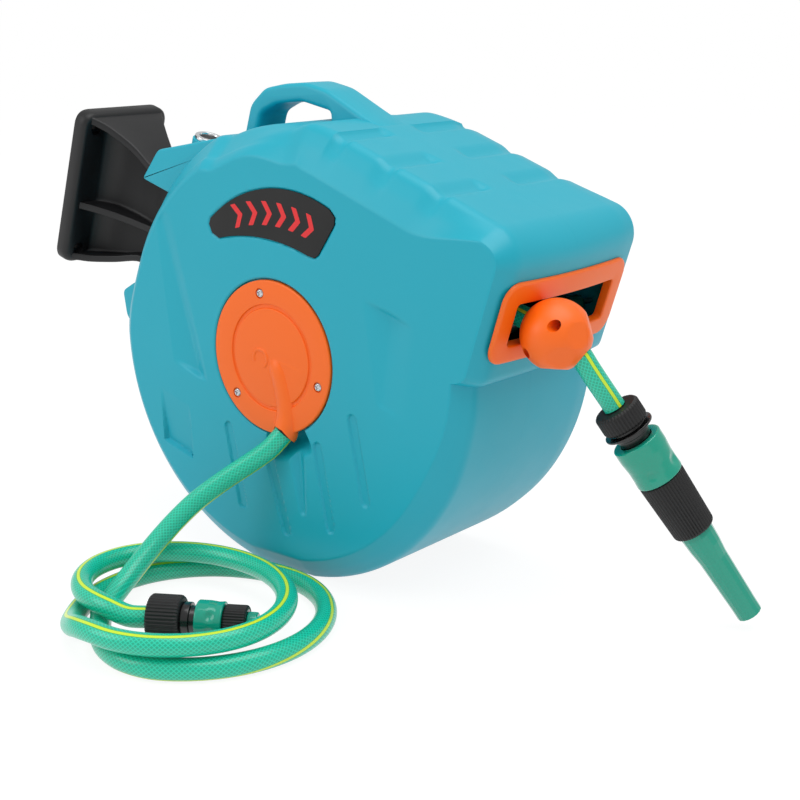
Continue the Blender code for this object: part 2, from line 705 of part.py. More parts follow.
def covers(parent):
    """Round covers of the side seats; the left one has the hose spout."""
    shaped = partial(combine, solver="MANIFOLD")
    low = SEAT_FLOOR + FIT
    high = low + COVER_THICKNESS
    channel_radius = HOSE_RADIUS + 0.8 * mm
    inner = GROOVE_RADIUS - GROOVE_WIDTH / 2
    outer = GROOVE_RADIUS + GROOVE_WIDTH / 2
    edge = COVER_RADIUS - 1.2 * mm
    disc = [(0, low), (COVER_RADIUS, low), (COVER_RADIUS, high - 1.2 * mm), (edge, high), (outer, high),
            (outer, high - GROOVE_DEPTH), (inner, high - GROOVE_DEPTH), (inner, high), (0, high)]
    left = turned("inlet_cover", [(r, -h) for r, h in disc], 30, PARTS, parent, (0, 0, 0), ALONG_Y)
    route = elbow_route()
    outside = tube("spout_arch", route[3:-1] + [route[-1] - 1.2 * mm * spout_mouth()[1]],
                   channel_radius + SPOUT_WALL, 3, CUTTERS, parent)
    shaped(left, outside, "UNION")
    shaved = box("spout_shave", (-0.1, -low, -0.1), (0.1, -low + 40 * mm, 0.1), CUTTERS, parent)
    shaped(left, shaved, "DIFFERENCE")
    heading = spout_mouth()[1]
    channel = tube("spout_channel", route + [route[-1] + 12 * mm * heading], channel_radius, 3,
                   CUTTERS, parent)
    shaped(left, channel, "DIFFERENCE")
    boss = low + COVER_PROUD + COVER_THICKNESS - 0.8 * mm
    disc[-1:] = [(12 * mm, high), (10 * mm, boss), (0, boss)]
    right = turned("spring_cover", disc, 30, PARTS, parent, (0, 0, 0), ALONG_Y)
    for cover, side, kind in ((left, -1, "inlet"), (right, 1, "spring")):
        for i, (x, z) in enumerate(cover_screw_places(side)):
            ends = sorted((side * (low - 3 * mm), side * (high + 3 * mm)))
            hole = rod(f"{kind}_cover_hole_{i}", SCREW_RADIUS + FIT, *ends, 8, CUTTERS, parent,
                       (x, 0, z), ALONG_Y)
            shaped(cover, hole, "DIFFERENCE")
            top = high + FIT
            foot = low - 4 * mm
            outline = [(0, foot), (SCREW_RADIUS, foot), (SCREW_RADIUS, top),
                       (SCREW_HEAD_RADIUS, top), (SCREW_HEAD_RADIUS - 1 * mm, top + SCREW_HEAD_HEIGHT),
                       (0, top + SCREW_HEAD_HEIGHT)]
            screw = turned(f"{kind}_cover_screw_{i + 1}", [(r, side * h) for r, h in outline], 8, PARTS,
                           parent, (x, 0, z), ALONG_Y)
            dress(screw, CHROME)
        dress(cover, ORANGE)


def rounded_ring(half_width, low, high, corner, x):
    """A rounded rectangle in a plane of constant x, bowed forward in the middle."""
    ring = []
    centres = ((half_width - corner, high - corner, 0), (-half_width + corner, high - corner, 90),
               (-half_width + corner, low + corner, 180), (half_width - corner, low + corner, 270))
    for i, (cy, cz, first) in enumerate(centres):
        ring += arc((cy, cz), corner, first, first + 90, 3)
        if i % 2 == 0:
            start = ring[-1]
            nxt = centres[(i + 1) % 4]
            finish = (nxt[0], start[1])
            ring += [(start[0] + (finish[0] - start[0]) * k / 6, start[1]) for k in range(1, 6)]
    bow = [FRONT_BOW * (1 - (y / CASE_HALF_WIDTH) ** 2) for y, z in ring]
    return [(x + b, y, z) for (y, z), b in zip(ring, bow)]


def bezel(parent):
    """Frame round the mouth with a lip that reaches into it."""
    back = FRONT_X + FIT
    front = back + BEZEL_THICKNESS
    low = MOUTH_Z - MOUTH_HALF_HEIGHT
    high = MOUTH_Z + MOUTH_HALF_HEIGHT
    lip = (MOUTH_HALF_WIDTH + BEZEL_LIP, low - BEZEL_LIP, high + BEZEL_LIP, 3.5 * mm)
    mouth = (MOUTH_HALF_WIDTH, low, high, 3 * mm)
    rim = (BEZEL_HALF_WIDTH, BEZEL_LOW, BEZEL_HIGH, BEZEL_CORNER)
    rings = [rounded_ring(*rim, front - 0.8 * mm), rounded_ring(*rim, back), rounded_ring(*lip, back),
             rounded_ring(*lip, back - BEZEL_DEPTH), rounded_ring(*mouth, back - BEZEL_DEPTH),
             rounded_ring(*mouth, front)]
    rings.append(rounded_ring(BEZEL_HALF_WIDTH - 1.2 * mm, BEZEL_LOW + 1.2 * mm, BEZEL_HIGH - 1.2 * mm,
                              BEZEL_CORNER - 1 * mm, front))
    work = bmesh.new()
    grid = [[work.verts.new(place) for place in ring] for ring in rings]
    count = len(grid[0])
    for first, second in zip(grid, grid[1:] + grid[:1]):
        for i in range(count):
            j = (i + 1) % count
            work.faces.new((first[i], second[i], second[j], first[j]))
    bmesh.ops.recalc_face_normals(work, faces=work.faces)
    mesh = bpy.data.meshes.new("mouth_bezel")
    work.to_mesh(mesh)
    work.free()
    dress(add_object("mouth_bezel", mesh, PARTS, parent), ORANGE)


def rollers(parent):
    rise = HOSE_RADIUS + ROLLER_RADIUS + FIT
    reach = CASE_HALF_WIDTH - WALL - FIT
    for name, z in (("upper", MOUTH_Z + rise), ("lower", MOUTH_Z - rise)):
        roller = pipe(f"{name}_roller", ROLLER_RADIUS, ROLLER_PIN_RADIUS + FIT, -ROLLER_HALF_LENGTH,
                      ROLLER_HALF_LENGTH, 16, PARTS, parent, (ROLLER_X, 0, z), ALONG_Y)
        dress(roller, GREEN)
        pin = rod(f"{name}_roller_pin", ROLLER_PIN_RADIUS, -reach, reach, 10, PARTS, parent,
                  (ROLLER_X, 0, z), ALONG_Y)
        dress(pin, STEEL)


def drum(parent):
    """Drum with both flanges and its hub, turned in one outline."""
    left_in = DRUM_LEFT + FLANGE_THICKNESS
    right_in = DRUM_RIGHT - FLANGE_THICKNESS
    bore = STUB_RADIUS + FIT
    arbor = ARBOR_RADIUS + FIT
    inner = CORE_RADIUS - CORE_WALL
    outline = [(bore, DRUM_LEFT), (FLANGE_RADIUS, DRUM_LEFT), (FLANGE_RADIUS, left_in),
               (CORE_RADIUS, left_in), (CORE_RADIUS, right_in), (FLANGE_RADIUS, right_in),
               (FLANGE_RADIUS, DRUM_RIGHT),
               (arbor, DRUM_RIGHT), (arbor, right_in), (inner, right_in), (inner, left_in),
               (HUB_RADIUS, left_in), (HUB_RADIUS, DRUM_LEFT + HUB_LENGTH), (bore, DRUM_LEFT + HUB_LENGTH)]
    dress(turned("drum", outline, 28, PARTS, parent, (0, 0, 0), ALONG_Y), BLACK)
    layers = pipe("inner_hose_layers", WINDING_RADIUS - HOSE_RADIUS - LAYER_GAP, CORE_RADIUS + FIT,
                  left_in + FIT, right_in - FIT, 28, PARTS, parent, (0, 0, 0), ALONG_Y)
    dress(layers, HOSE_GREEN)


def winding_route():
    """Outer layer of hose: a helix that leaves the top of the drum towards the mouth."""
    steps = WINDING_TURNS * WINDING_POINTS_A_TURN
    route = []
    for i in range(steps + 1):
        angle = math.pi / 2 + 2 * math.pi * (WINDING_TURNS - i / WINDING_POINTS_A_TURN)
        y = WINDING_START - WINDING_PITCH * i / WINDING_POINTS_A_TURN
        route.append(Vector((WINDING_RADIUS * math.cos(angle), y, WINDING_RADIUS * math.sin(angle))))
    straight = 2 * HOSE_RADIUS
    lean = WINDING_PITCH / (2 * math.pi * WINDING_RADIUS)
    route.insert(0, route[0] - straight * Vector((1.0, -lean, 0.0)))
    route.append(route[-1] + straight * Vector((1.0, -lean, 0.0)))
    return route


def hose_on_drum(parent):
    winding = winding_route()
    print("winding gap", round(least_self_gap(winding, HOSE_RADIUS, 60 * mm) / mm, 2), "mm")
    dress(tube("wound_hose", winding, HOSE_RADIUS, 1, PARTS, parent), HOSE_GREEN)
    leaving = (winding[-1] - winding[-2]).normalized()
    start = winding[-1] + FIT * leaving
    mouth = reel_place(outlet_points()[0])
    heading = (reel_place(outlet_points()[1]) - mouth).normalized()
    finish = mouth - FIT * heading
    route = squared_route([start, start.lerp(finish, 0.5), finish], 18 * mm, leaving, heading, 12 * mm)
    dress(tube("hose_lead", route, HOSE_RADIUS, 2, PARTS, parent), HOSE_GREEN)


def spring_parts(parent):
    low = DRUM_RIGHT + FIT
    high = low + SPRING_CASE_DEPTH
    bore = ARBOR_RADIUS + 3 * mm
    inner = SPRING_CASE_RADIUS - SPRING_CASE_WALL
    outline = [(inner, low), (SPRING_CASE_RADIUS, low), (SPRING_CASE_RADIUS, high), (bore, high),
               (bore, high - SPRING_CASE_WALL), (inner, high - SPRING_CASE_WALL)]
    dress(turned("spring_case", outline, 20, PARTS, parent, (0, 0, 0), ALONG_Y), STEEL)
    arbor_low = DRUM_RIGHT - 15 * mm
    arbor = rod("spring_arbor", ARBOR_RADIUS, arbor_low, SEAT_FLOOR, 16, PARTS, parent, (0, 0, 0), ALONG_Y)
    dress(arbor, STEEL)
    steps = SPRING_TURNS * 14
    first = ARBOR_RADIUS + FIT + SPRING_BAND
    last = inner - FIT
    outside = []
    inside = []
    for i in range(steps + 1):
        radius = first + (last - first) * i / steps
        turn = 2 * math.pi * i / 14
        outside.append((radius * math.cos(turn), radius * math.sin(turn)))
        inside.append(((radius - SPRING_BAND) * math.cos(turn), (radius - SPRING_BAND) * math.sin(turn)))
    band = flat("power_spring", [outside + inside[::-1]], low + 1 * mm, high - SPRING_CASE_WALL - 1 * mm,
                PARTS, parent)
    dress(band, STEEL)


def ratchet(parent):
    high = DRUM_LEFT - FIT
    low = high - RATCHET_THICKNESS
    pitch = 2 * math.pi / RATCHET_TEETH
    lead = FIT / RATCHET_ROOT
    teeth = []
    for i in range(RATCHET_TEETH):
        turn = PAWL_TIP_ANGLE + i * pitch - lead
        teeth.append((RATCHET_RADIUS * math.cos(turn), RATCHET_RADIUS * math.sin(turn)))
        teeth.append((RATCHET_ROOT * math.cos(turn), RATCHET_ROOT * math.sin(turn)))
        turn += pitch / 2
        middle = (RATCHET_RADIUS + RATCHET_ROOT) / 2
        teeth.append((middle * math.cos(turn), middle * math.sin(turn)))
    bore = arc((0, 0), RATCHET_BORE, 0, 345, 23)
    dress(flat("ratchet_wheel", [teeth, bore], low, high, PARTS, parent), WHITE)
    return low, high


def pawl(parent, low, high):
    """Pawl that catches the ratchet, its pin in the case and its spring."""
    px, pz = PAWL_PIVOT
    reach = RATCHET_ROOT + 1.5 * mm
    tip = Vector((reach * math.cos(PAWL_TIP_ANGLE), reach * math.sin(PAWL_TIP_ANGLE)))
    tip.x -= 0.1 * mm
    back = Vector((px, pz)) - tip
    turn = math.degrees(math.atan2(back.y, back.x))
    side = Vector((-back.y, back.x)).normalized() * (PAWL_EYE_RADIUS * 0.8)
    eye = arc((px, pz), PAWL_EYE_RADIUS, turn - 80, turn + 80, 6)
    heel = tip + back.normalized() * 12 * mm
    outline = eye + [tuple(heel + side), (tip.x - 0.2 * mm, tip.y + 4 * mm), tuple(tip),
                     tuple(heel - side * 0.6)]
    hinge = bpy.data.objects.new("pawl_hinge", None)
    bpy.data.collections[PARTS].objects.link(hinge)
    hinge.parent = parent
    hinge.location = (px, 0, pz)
    local = [(x - px, z - pz) for x, z in outline]
    hole = arc((0, 0), PAWL_PIN_RADIUS + FIT, 0, 324, 9)
    dress(flat("pawl", [local, hole], low, high, PARTS, hinge), BLACK)
    inside = SEAT_FLOOR - WALL - FIT
    dress(rod("pawl_pin", PAWL_PIN_RADIUS, -inside, high, 12, PARTS, parent, (px, 0, pz), ALONG_Y), STEEL)
    turns = 2
    wire = 0.5 * mm
    coil = PAWL_PIN_RADIUS + wire + FIT
    room = (low - wire - FIT) - (-inside + wire + FIT)
    route = []
    for i in range(turns * 10 + 1):
        angle = 2 * math.pi * i / 10
        y = -inside + wire + FIT + room * i / (turns * 10)
        route.append(Vector((px + coil * math.cos(angle), y, pz + coil * math.sin(angle))))
    dress(tube("pawl_spring", route, wire, 0, PARTS, parent), STEEL)


def inlet_elbow(parent):
    """Fixed elbow: a stub in the drum's hub and a curved tail to the spout."""
    top = -SEAT_FLOOR
    under = top + ELBOW_FLANGE_THICKNESS
    outline = [(0, DRUM_LEFT + HUB_LENGTH), (STUB_RADIUS, DRUM_LEFT + HUB_LENGTH), (STUB_RADIUS, under),
               (ELBOW_FLANGE_RADIUS, under), (ELBOW_FLANGE_RADIUS, top), (0, top)]
    elbow = turned("inlet_elbow", outline, 16, PARTS, parent, (0, 0, 0), ALONG_Y)
    tail = tube("elbow_tail", elbow_route(), ELBOW_RADIUS, 2, CUTTERS, parent)
    combine(elbow, tail, "UNION")
    dress(elbow, BLACK)


def bracket(parent):
    """Wall bracket: a barrel on the hinge pin, a flaring arm with three flanges, and a plate."""
    hinge = bpy.data.objects.new("bracket_hinge", None)
    bpy.data.collections[PARTS].objects.link(hinge)
    hinge.parent = parent
    hinge.location = (PIVOT_X, 0, 0)
    front = PLATE_BACK + PLATE_THICKNESS
    # Each section: its x, half width over the flanges, half width of the web, bottom and top
    sections = [(PIVOT_X, BARREL_RADIUS - 0.5 * mm, BARREL_RADIUS - 0.8 * mm, BARREL_LOW + 0.5 * mm,
                 BARREL_HIGH - 0.5 * mm),
                (PIVOT_X - 28 * mm, 12.5 * mm, 8.5 * mm, BARREL_LOW + 0.5 * mm, BARREL_HIGH - 1 * mm),
                (PIVOT_X - 45 * mm, 16 * mm, 6 * mm, BARREL_LOW, BARREL_HIGH),
                (PIVOT_X - 66 * mm, 22 * mm, 6 * mm, PLATE_LOW + 13 * mm, PLATE_HIGH - 17 * mm),
                (PIVOT_X - 86 * mm, 31 * mm, 9.5 * mm, PLATE_LOW + 6 * mm, PLATE_HIGH - 8 * mm),
                (front - 2 * mm, PLATE_HALF_WIDTH - 6 * mm, 26 * mm, PLATE_LOW + 3 * mm, PLATE_HIGH - 3 * mm)]
    work = bmesh.new()
    rings = []
    for x, half, web, low, high in sections:
        edge = ARM_FLANGE
        right = [(half, low), (half, low + edge), (web, low + edge), (web, MIDDLE_FLANGE[0]),
                 (half, MIDDLE_FLANGE[0]), (half, MIDDLE_FLANGE[1]), (web, MIDDLE_FLANGE[1]),
                 (web, high - edge), (half, high - edge), (half, high)]
        ring = right + [(-y, z) for y, z in right[::-1]]
        rings.append([work.verts.new((x - PIVOT_X, y, z)) for y, z in ring])
    for first, second in zip(rings, rings[1:]):
        for i in range(len(first)):
            n = (i + 1) % len(first)
            work.faces.new((first[i], first[n], second[n], second[i]))
    work.faces.new(rings[0])
    work.faces.new(rings[-1][::-1])
    bmesh.ops.recalc_face_normals(work, faces=work.faces)
    mesh = bpy.data.meshes.new("bracket_arm")
    work.to_mesh(mesh)
    work.free()
    arm = add_object("bracket_arm", mesh, CUTTERS, hinge)
    barrel = rod("bracket_barrel", BARREL_RADIUS, BARREL_LOW, BARREL_HIGH, 20, CUTTERS, hinge)
    ring = []
    for cy, cz, first in ((1, 1, 0), (-1, 1, 90), (-1, -1, 180), (1, -1, 270)):
        y = cy * (PLATE_HALF_WIDTH - PLATE_CORNER)
        z = PLATE_HIGH - PLATE_CORNER if cz > 0 else PLATE_LOW + PLATE_CORNER
        ring += arc((y, z), PLATE_CORNER, first, first + 90, 4)
    work = bmesh.new()
    face = work.faces.new([work.verts.new((PLATE_BACK - PIVOT_X, y, z)) for y, z in ring])
    grown = bmesh.ops.extrude_face_region(work, geom=[face])
    moved = [part for part in grown["geom"] if isinstance(part, bmesh.types.BMVert)]
    bmesh.ops.translate(work, vec=(PLATE_THICKNESS, 0, 0), verts=moved)
    bmesh.ops.recalc_face_normals(work, faces=work.faces)
    mesh = bpy.data.meshes.new("wall_bracket")
    work.to_mesh(mesh)
    work.free()
    plate = add_object("wall_bracket", mesh, PARTS, hinge)
    combine(plate, arm, "UNION")
    combine(plate, barrel, "UNION")
    bore = rod("bracket_bore", PIN_RADIUS + 2 * FIT, BARREL_LOW - 10 * mm, BARREL_HIGH + 10 * mm, 16,
               CUTTERS, hinge)
    combine(plate, bore, "DIFFERENCE")
    depth = PLATE_THICKNESS + 4 * mm
    for i, (cy, cz) in enumerate(((1, 1), (-1, 1), (-1, -1), (1, -1))):
        y = cy * (PLATE_HALF_WIDTH - PLATE_HOLE_EDGE)
        z = PLATE_HIGH - PLATE_HOLE_EDGE if cz > 0 else PLATE_LOW + PLATE_HOLE_EDGE
        recess = PLATE_HOLE_RADIUS + 3 * mm
        outline = [(0, -2 * mm), (PLATE_HOLE_RADIUS, -2 * mm), (PLATE_HOLE_RADIUS, 4 * mm), (recess, 4 * mm),
                   (recess, depth + 22 * mm), (0, depth + 22 * mm)]
        hole = turned(f"plate_hole_{i}", outline, 10, CUTTERS, hinge, (PLATE_BACK - PIVOT_X, y, z),
                      (0, math.pi / 2, 0))
        combine(plate, hole, "DIFFERENCE")
    dress(plate, BLACK)


def pivot_pin(parent):
    low = PIN_BOSS_TOP + FIT
    outline = [(0, PIN_BOTTOM), (PIN_RADIUS - 1 * mm, PIN_BOTTOM), (PIN_RADIUS, PIN_BOTTOM + 1 * mm),
               (PIN_RADIUS, low), (PIN_HEAD_RADIUS, low), (PIN_HEAD_RADIUS, low + PIN_HEAD_HEIGHT - 1 * mm),
               (PIN_HEAD_RADIUS - 1 * mm, low + PIN_HEAD_HEIGHT), (0, low + PIN_HEAD_HEIGHT)]
    dress(turned("pivot_pin", outline, 16, PARTS, parent, (PIVOT_X, 0, 0)), CHROME)


# The free hose and its fittings, in the level frame under the drum's axis


def outlet_points():
    """Route of the outlet hose from the rollers to the nozzle."""
    route = [(165, -40, 61.5), (182, -40, 56.3), (197.5, -40, 51.6), (212, -40, 47.2), (226.7, -39.8, 42.4),
             (241.7, -35.3, 31.6), (248.7, -27.5, 16.3), (259.5, -12.8, -9.6)]
    return [Vector(p) * mm for p in route]


def nozzle_axis():
    """Start and direction of the nozzle, in line with the end of its hose."""
    points = outlet_points()
    tip = Vector((338.9, 56, -165.9)) * mm
    return points[-1], (tip - points[-1]).normalized()


def outlet_route():
    """The outlet hose from the mouth to its fittings, straight where it meets them."""
    points = outlet_points()
    heading = nozzle_axis()[1]
    points[-1] -= FIT * heading
    return squared_route(points, 1.5 * HOSE_RADIUS, (points[1] - points[0]).normalized(), heading)


def inlet_points():
    """Route of the inlet hose from the spout down into the coil."""
    route = [(10.3, -84.5, -58.6), (4, -91.5, -69.3), (-7, -102.5, -80.5), (-23.5, -118, -95.5),
             (-38, -136, -112), (-46, -156, -129), (-49, -177, -145), (-48, -198, -158),
             (-42.5, -218.5, -166.3)]
    return [Vector(p) * mm for p in route]


def coil_route():
    """Turns of the inlet hose on the floor, which climb a layer and end in the middle."""
    steps = int(round(COIL_TURNS * COIL_POINTS_A_TURN))
    route = []
    for i in range(steps + 1):
        turn = COIL_TURNS * i / steps
        second = smooth(turn, 0.80, 1.14)
        tail = smooth(turn, 1.32, 1.96)
        x, y, radius = FIRST_TURN
        radius -= (FIRST_TURN[2] - START_RADIUS) * (1 - smooth(turn, 0.02, 0.22))
        x += (SECOND_TURN[0] - x) * second
        y += (SECOND_TURN[1] - y) * second
        radius += (SECOND_TURN[2] - radius) * second
        x += (TAIL_TURN[0] - SECOND_TURN[0]) * tail
        y += (TAIL_TURN[1] - SECOND_TURN[1]) * tail
        radius += (TAIL_TURN[2] - radius) * tail
        height = LOW_LAYER + (HIGH_LAYER - LOW_LAYER) * smooth(turn, 0.98, 1.12)
        height -= (HIGH_LAYER - TAIL_LAYER) * smooth(turn, 2.135, 2.195)
        angle = COIL_START_ANGLE + 2 * math.pi * turn
        place = (x + radius * math.cos(angle), y + radius * math.sin(angle), height - FLOOR_DROP)
        route.append(Vector(place))
    return route


def free_hose(stand):
    coil = coil_route()
    heading = (coil[1] - coil[0]).normalized()
    given = inlet_points()
    leaving = (given[1] - given[0]).normalized()
    inlet = squared_route(given + [coil[0] - FIT * heading], 2.2 * HOSE_RADIUS, leaving, heading)
    outlet = outlet_route()
    whole = inlet + coil
    print("inlet hose", round(route_length(whole), 3), "m, least gap",
          round(least_self_gap(whole, HOSE_RADIUS, 70 * mm) / mm, 2), "mm")
    print("outlet hose", round(route_length(outlet), 3), "m")
    dress(tube("outlet_hose", outlet, HOSE_RADIUS, 2, PARTS, stand), HOSE_GREEN)
    dress(tube("inlet_hose", inlet, HOSE_RADIUS, 2, PARTS, stand), HOSE_GREEN)
    dress(tube("inlet_coil", coil, HOSE_RADIUS, 1, PARTS, stand), HOSE_GREEN)
    return coil


def stop_ball(stand):
    """Ball that stops the hose at the mouth: two halves round the hose, and their screws."""
    centre = outlet_points()[4]
    bore = tube("ball_bore", outlet_route(), HOSE_RADIUS + 1.1 * mm, 2, CUTTERS, stand)
    seam = centre.y
    for name, side in (("left", -1), ("right", 1)):
        work = bmesh.new()
        bmesh.ops.create_uvsphere(work, u_segments=16, v_segments=10, radius=BALL_RADIUS)
        plane = work.verts[:] + work.edges[:] + work.faces[:]
        bmesh.ops.bisect_plane(work, geom=plane, plane_co=(0, side * THIN, 0), plane_no=(0, side, 0),
                               clear_inner=True)
        rim = [edge for edge in work.edges if edge.is_boundary]
        bmesh.ops.contextual_create(work, geom=rim)
        bmesh.ops.recalc_face_normals(work, faces=work.faces)
        mesh = bpy.data.meshes.new(f"stop_ball_{name}")
        work.to_mesh(mesh)
        work.free()
        half = add_object(mesh.name, mesh, PARTS, stand, centre)
        combine(half, bore, "DIFFERENCE")
        for i, (dx, dz) in enumerate(BALL_SCREWS):
            place = (centre.x + dx, seam, centre.z + dz)
            if side < 0:
                outline = [(0, -60 * mm), (SCREW_HEAD_RADIUS + FIT, -60 * mm),
                           (SCREW_HEAD_RADIUS + FIT, -6 * mm), (SCREW_RADIUS + FIT, -6 * mm),
                           (SCREW_RADIUS + FIT, 5 * mm), (0, 5 * mm)]
            else:
                outline = [(0, -5 * mm), (SCREW_RADIUS + FIT, -5 * mm), (SCREW_RADIUS + FIT, 10 * mm),
                           (0, 10 * mm)]
            well = turned(f"ball_well_{name}_{i}", outline, 8, CUTTERS, stand, place, ALONG_Y)
            combine(half, well, "DIFFERENCE")
            if side < 0:
                top = -6 * mm - FIT
                outline = [(0, top - SCREW_HEAD_HEIGHT), (SCREW_HEAD_RADIUS, top - SCREW_HEAD_HEIGHT),
                           (SCREW_HEAD_RADIUS, top), (SCREW_RADIUS, top), (SCREW_RADIUS, 9 * mm),
                           (0, 9 * mm)]
                dress(turned(f"ball_screw_{i + 1}", outline, 8, PARTS, stand, place, ALONG_Y), STEEL)
        dress(half, ORANGE)


def ribbed(name, radius, bore, low, high, group, parent, location, rotation):
    """A grip ring with ribs along it, and a bore through it."""
    ring = []
    for i in range(RIB_COUNT):
        turn = 2 * math.pi * i / RIB_COUNT
        half = 0.28 * 2 * math.pi / RIB_COUNT
        for r, a in ((radius, turn - half), (radius, turn + half), (radius - RIB_HEIGHT, turn + 1.8 * half)):
            ring.append((r * math.cos(a), r * math.sin(a)))
    inner = [(bore * math.cos(a), bore * math.sin(a)) for a in np.linspace(0, 2 * math.pi, 21)[:-1]]
    curve = bpy.data.curves.new(name, "CURVE")
    curve.dimensions = "2D"
    curve.fill_mode = "BOTH"
    curve.extrude = (high - low) / 2
    for outline in (ring, inner):
        spline = curve.splines.new("POLY")
        spline.points.add(len(outline) - 1)
        for point, place in zip(spline.points, outline):
            point.co = (place[0], place[1], 0.0, 1.0)
        spline.use_cyclic_u = True
    obj = mesh_of_curve(add_object(name, curve, group))
    for vertex in obj.data.vertices:
        vertex.co.z += (low + high) / 2
    obj.parent = parent
    obj.location = location
    obj.rotation_euler = rotation
    return obj


def outlet_fittings(stand):
    """Hose nut, quick connector and nozzle, strung along the end of the outlet hose."""
    start, heading = nozzle_axis()
    rotation = heading.to_track_quat("Z", "Y").to_euler()
    line = (PARTS, stand, start, rotation)
    nut = FIT + NUT_LENGTH
    dress(ribbed("outlet_nut", NUT_RADIUS, WATER_BORE, FIT, nut, *line), BLACK)
    low = nut + FIT
    shoulder = low + 3.7 * mm
    collar = low + NECK_LENGTH + FIT
    spigot = collar + COLLAR_LENGTH - 5 * mm
    rim = low + 2 * mm
    step = collar - 5 * mm
    outline = [(WATER_BORE, low), (NECK_RADIUS, low), (NECK_RADIUS, rim), (FLANGE_RIM, rim),
               (FLANGE_RIM, shoulder), (NECK_RADIUS, shoulder), (NECK_RADIUS, step),
               (SPIGOT_RADIUS, step), (SPIGOT_RADIUS, spigot), (WATER_BORE, spigot)]
    dress(turned("outlet_core", outline, 16, *line), BLACK)
    end = collar + COLLAR_LENGTH
    bore = SPIGOT_RADIUS + FIT
    outline = [(bore, collar), (COLLAR_RADIUS - 1 * mm, collar), (COLLAR_RADIUS, collar + 1 * mm),
               (COLLAR_RADIUS, collar + 10 * mm), (COLLAR_RADIUS - 1 * mm, collar + 20 * mm),
               (COLLAR_RADIUS - 0.5 * mm, end - 3 * mm), (COLLAR_RADIUS - 1.5 * mm, end), (bore, end)]
    dress(turned("outlet_collar", outline, 16, *line), GREEN)
    low = end + FIT
    high = low + GRIP_LENGTH
    dress(ribbed("nozzle_grip", GRIP_RADIUS, WATER_BORE, low, high, *line), BLACK)
    low = high + FIT
    tip = low + TIP_LENGTH
    outline = [(WATER_BORE, low), (TIP_RADIUS + 2.5 * mm, low), (TIP_RADIUS + 3 * mm, low + 4 * mm),
               (TIP_RADIUS + 2.5 * mm, low + 14 * mm), (TIP_RADIUS + 1.2 * mm, low + 26 * mm),
               (TIP_RADIUS, tip - 8 * mm), (TIP_RADIUS, tip), (WATER_BORE, tip)]
    dress(turned("nozzle_tip", outline, 16, *line), GREEN)
    print("nozzle tip above the floor", round((start + tip * heading).z / mm + FLOOR_DROP / mm, 1), "mm")


def inlet_fittings(stand, coil):
    """Tap connector on the end of the inlet hose, lying inside the coil."""
    heading = (coil[-1] - coil[-2]).normalized()
    heading.z = 0.0
    heading.normalize()
    rotation = heading.to_track_quat("Z", "Y").to_euler()
    line = (PARTS, stand, coil[-1], rotation)
    nut = FIT + INLET_NUT_LENGTH
    dress(ribbed("inlet_nut", NUT_RADIUS, WATER_BORE, FIT, nut, *line), BLACK)
    low = nut + FIT
    body = low + INLET_BODY_LENGTH
    ring_end = body + INLET_RING_LENGTH
    rim = INLET_BODY_RADIUS - 2 * mm
    neck = INLET_RING_RADIUS - 2.5 * mm
    outline = [(WATER_BORE, low), (rim, low), (rim, low + 6 * mm), (neck, low + 6 * mm), (neck, ring_end),
               (WATER_BORE, ring_end)]
    dress(turned("inlet_core", outline, 16, *line), BLACK)
    bore = neck + FIT
    collar = low + 6 * mm + 4.5 * mm
    outline = [(bore, collar), (INLET_BODY_RADIUS, collar), (INLET_BODY_RADIUS, body - 5 * mm),
               (INLET_BODY_RADIUS - 1 * mm, body), (bore, body)]
    dress(turned("inlet_collar", outline, 16, *line), GREEN)
    dress(ribbed("inlet_ring", INLET_RING_RADIUS, bore, body + FIT, ring_end, *line), BLACK)
    low = ring_end + FIT
    end = low + INLET_END_LENGTH
    dress(pipe("inlet_end", INLET_END_RADIUS, WATER_BORE, low, end, 16, *line), GREEN)


def main():
    clear_scene()
    collection(PARTS)
    collection(CUTTERS)
    stand = bpy.data.objects.new("stand", None)
    bpy.data.collections[PARTS].objects.link(stand)
    stand.location = (AXLE_X, 0, FLOOR_DROP)
    reel = bpy.data.objects.new("reel_frame", None)
    bpy.data.collections[PARTS].objects.link(reel)
    reel.parent = stand
    reel.rotation_euler = (0, LEAN, 0)
    case(reel)
    case_screws(reel)
    covers(reel)
    bezel(reel)
    rollers(reel)
    drum(reel)
    hose_on_drum(reel)
    spring_parts(reel)
    low, high = ratchet(reel)
    pawl(reel, low, high)
    inlet_elbow(reel)
    bracket(reel)
    pivot_pin(reel)
    coil = free_hose(stand)
    stop_ball(stand)
    outlet_fittings(stand)
    inlet_fittings(stand, coil)


main()
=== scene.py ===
# %% [markdown]
# # A wall-mounted garden hose reel, dressed for a product picture
#
# A garden hose reel is a moulded case round a spring-driven drum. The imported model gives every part
# its real place, so this lesson models the visible surfaces in that same frame: the curved case, the
# braided hose, the fittings and the wall bracket. Each step says what the piece is, how it could be
# made, and why the way used here suits it.

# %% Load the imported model
import math

import bmesh
import bpy
import numpy as np
from mathutils import Matrix, Vector


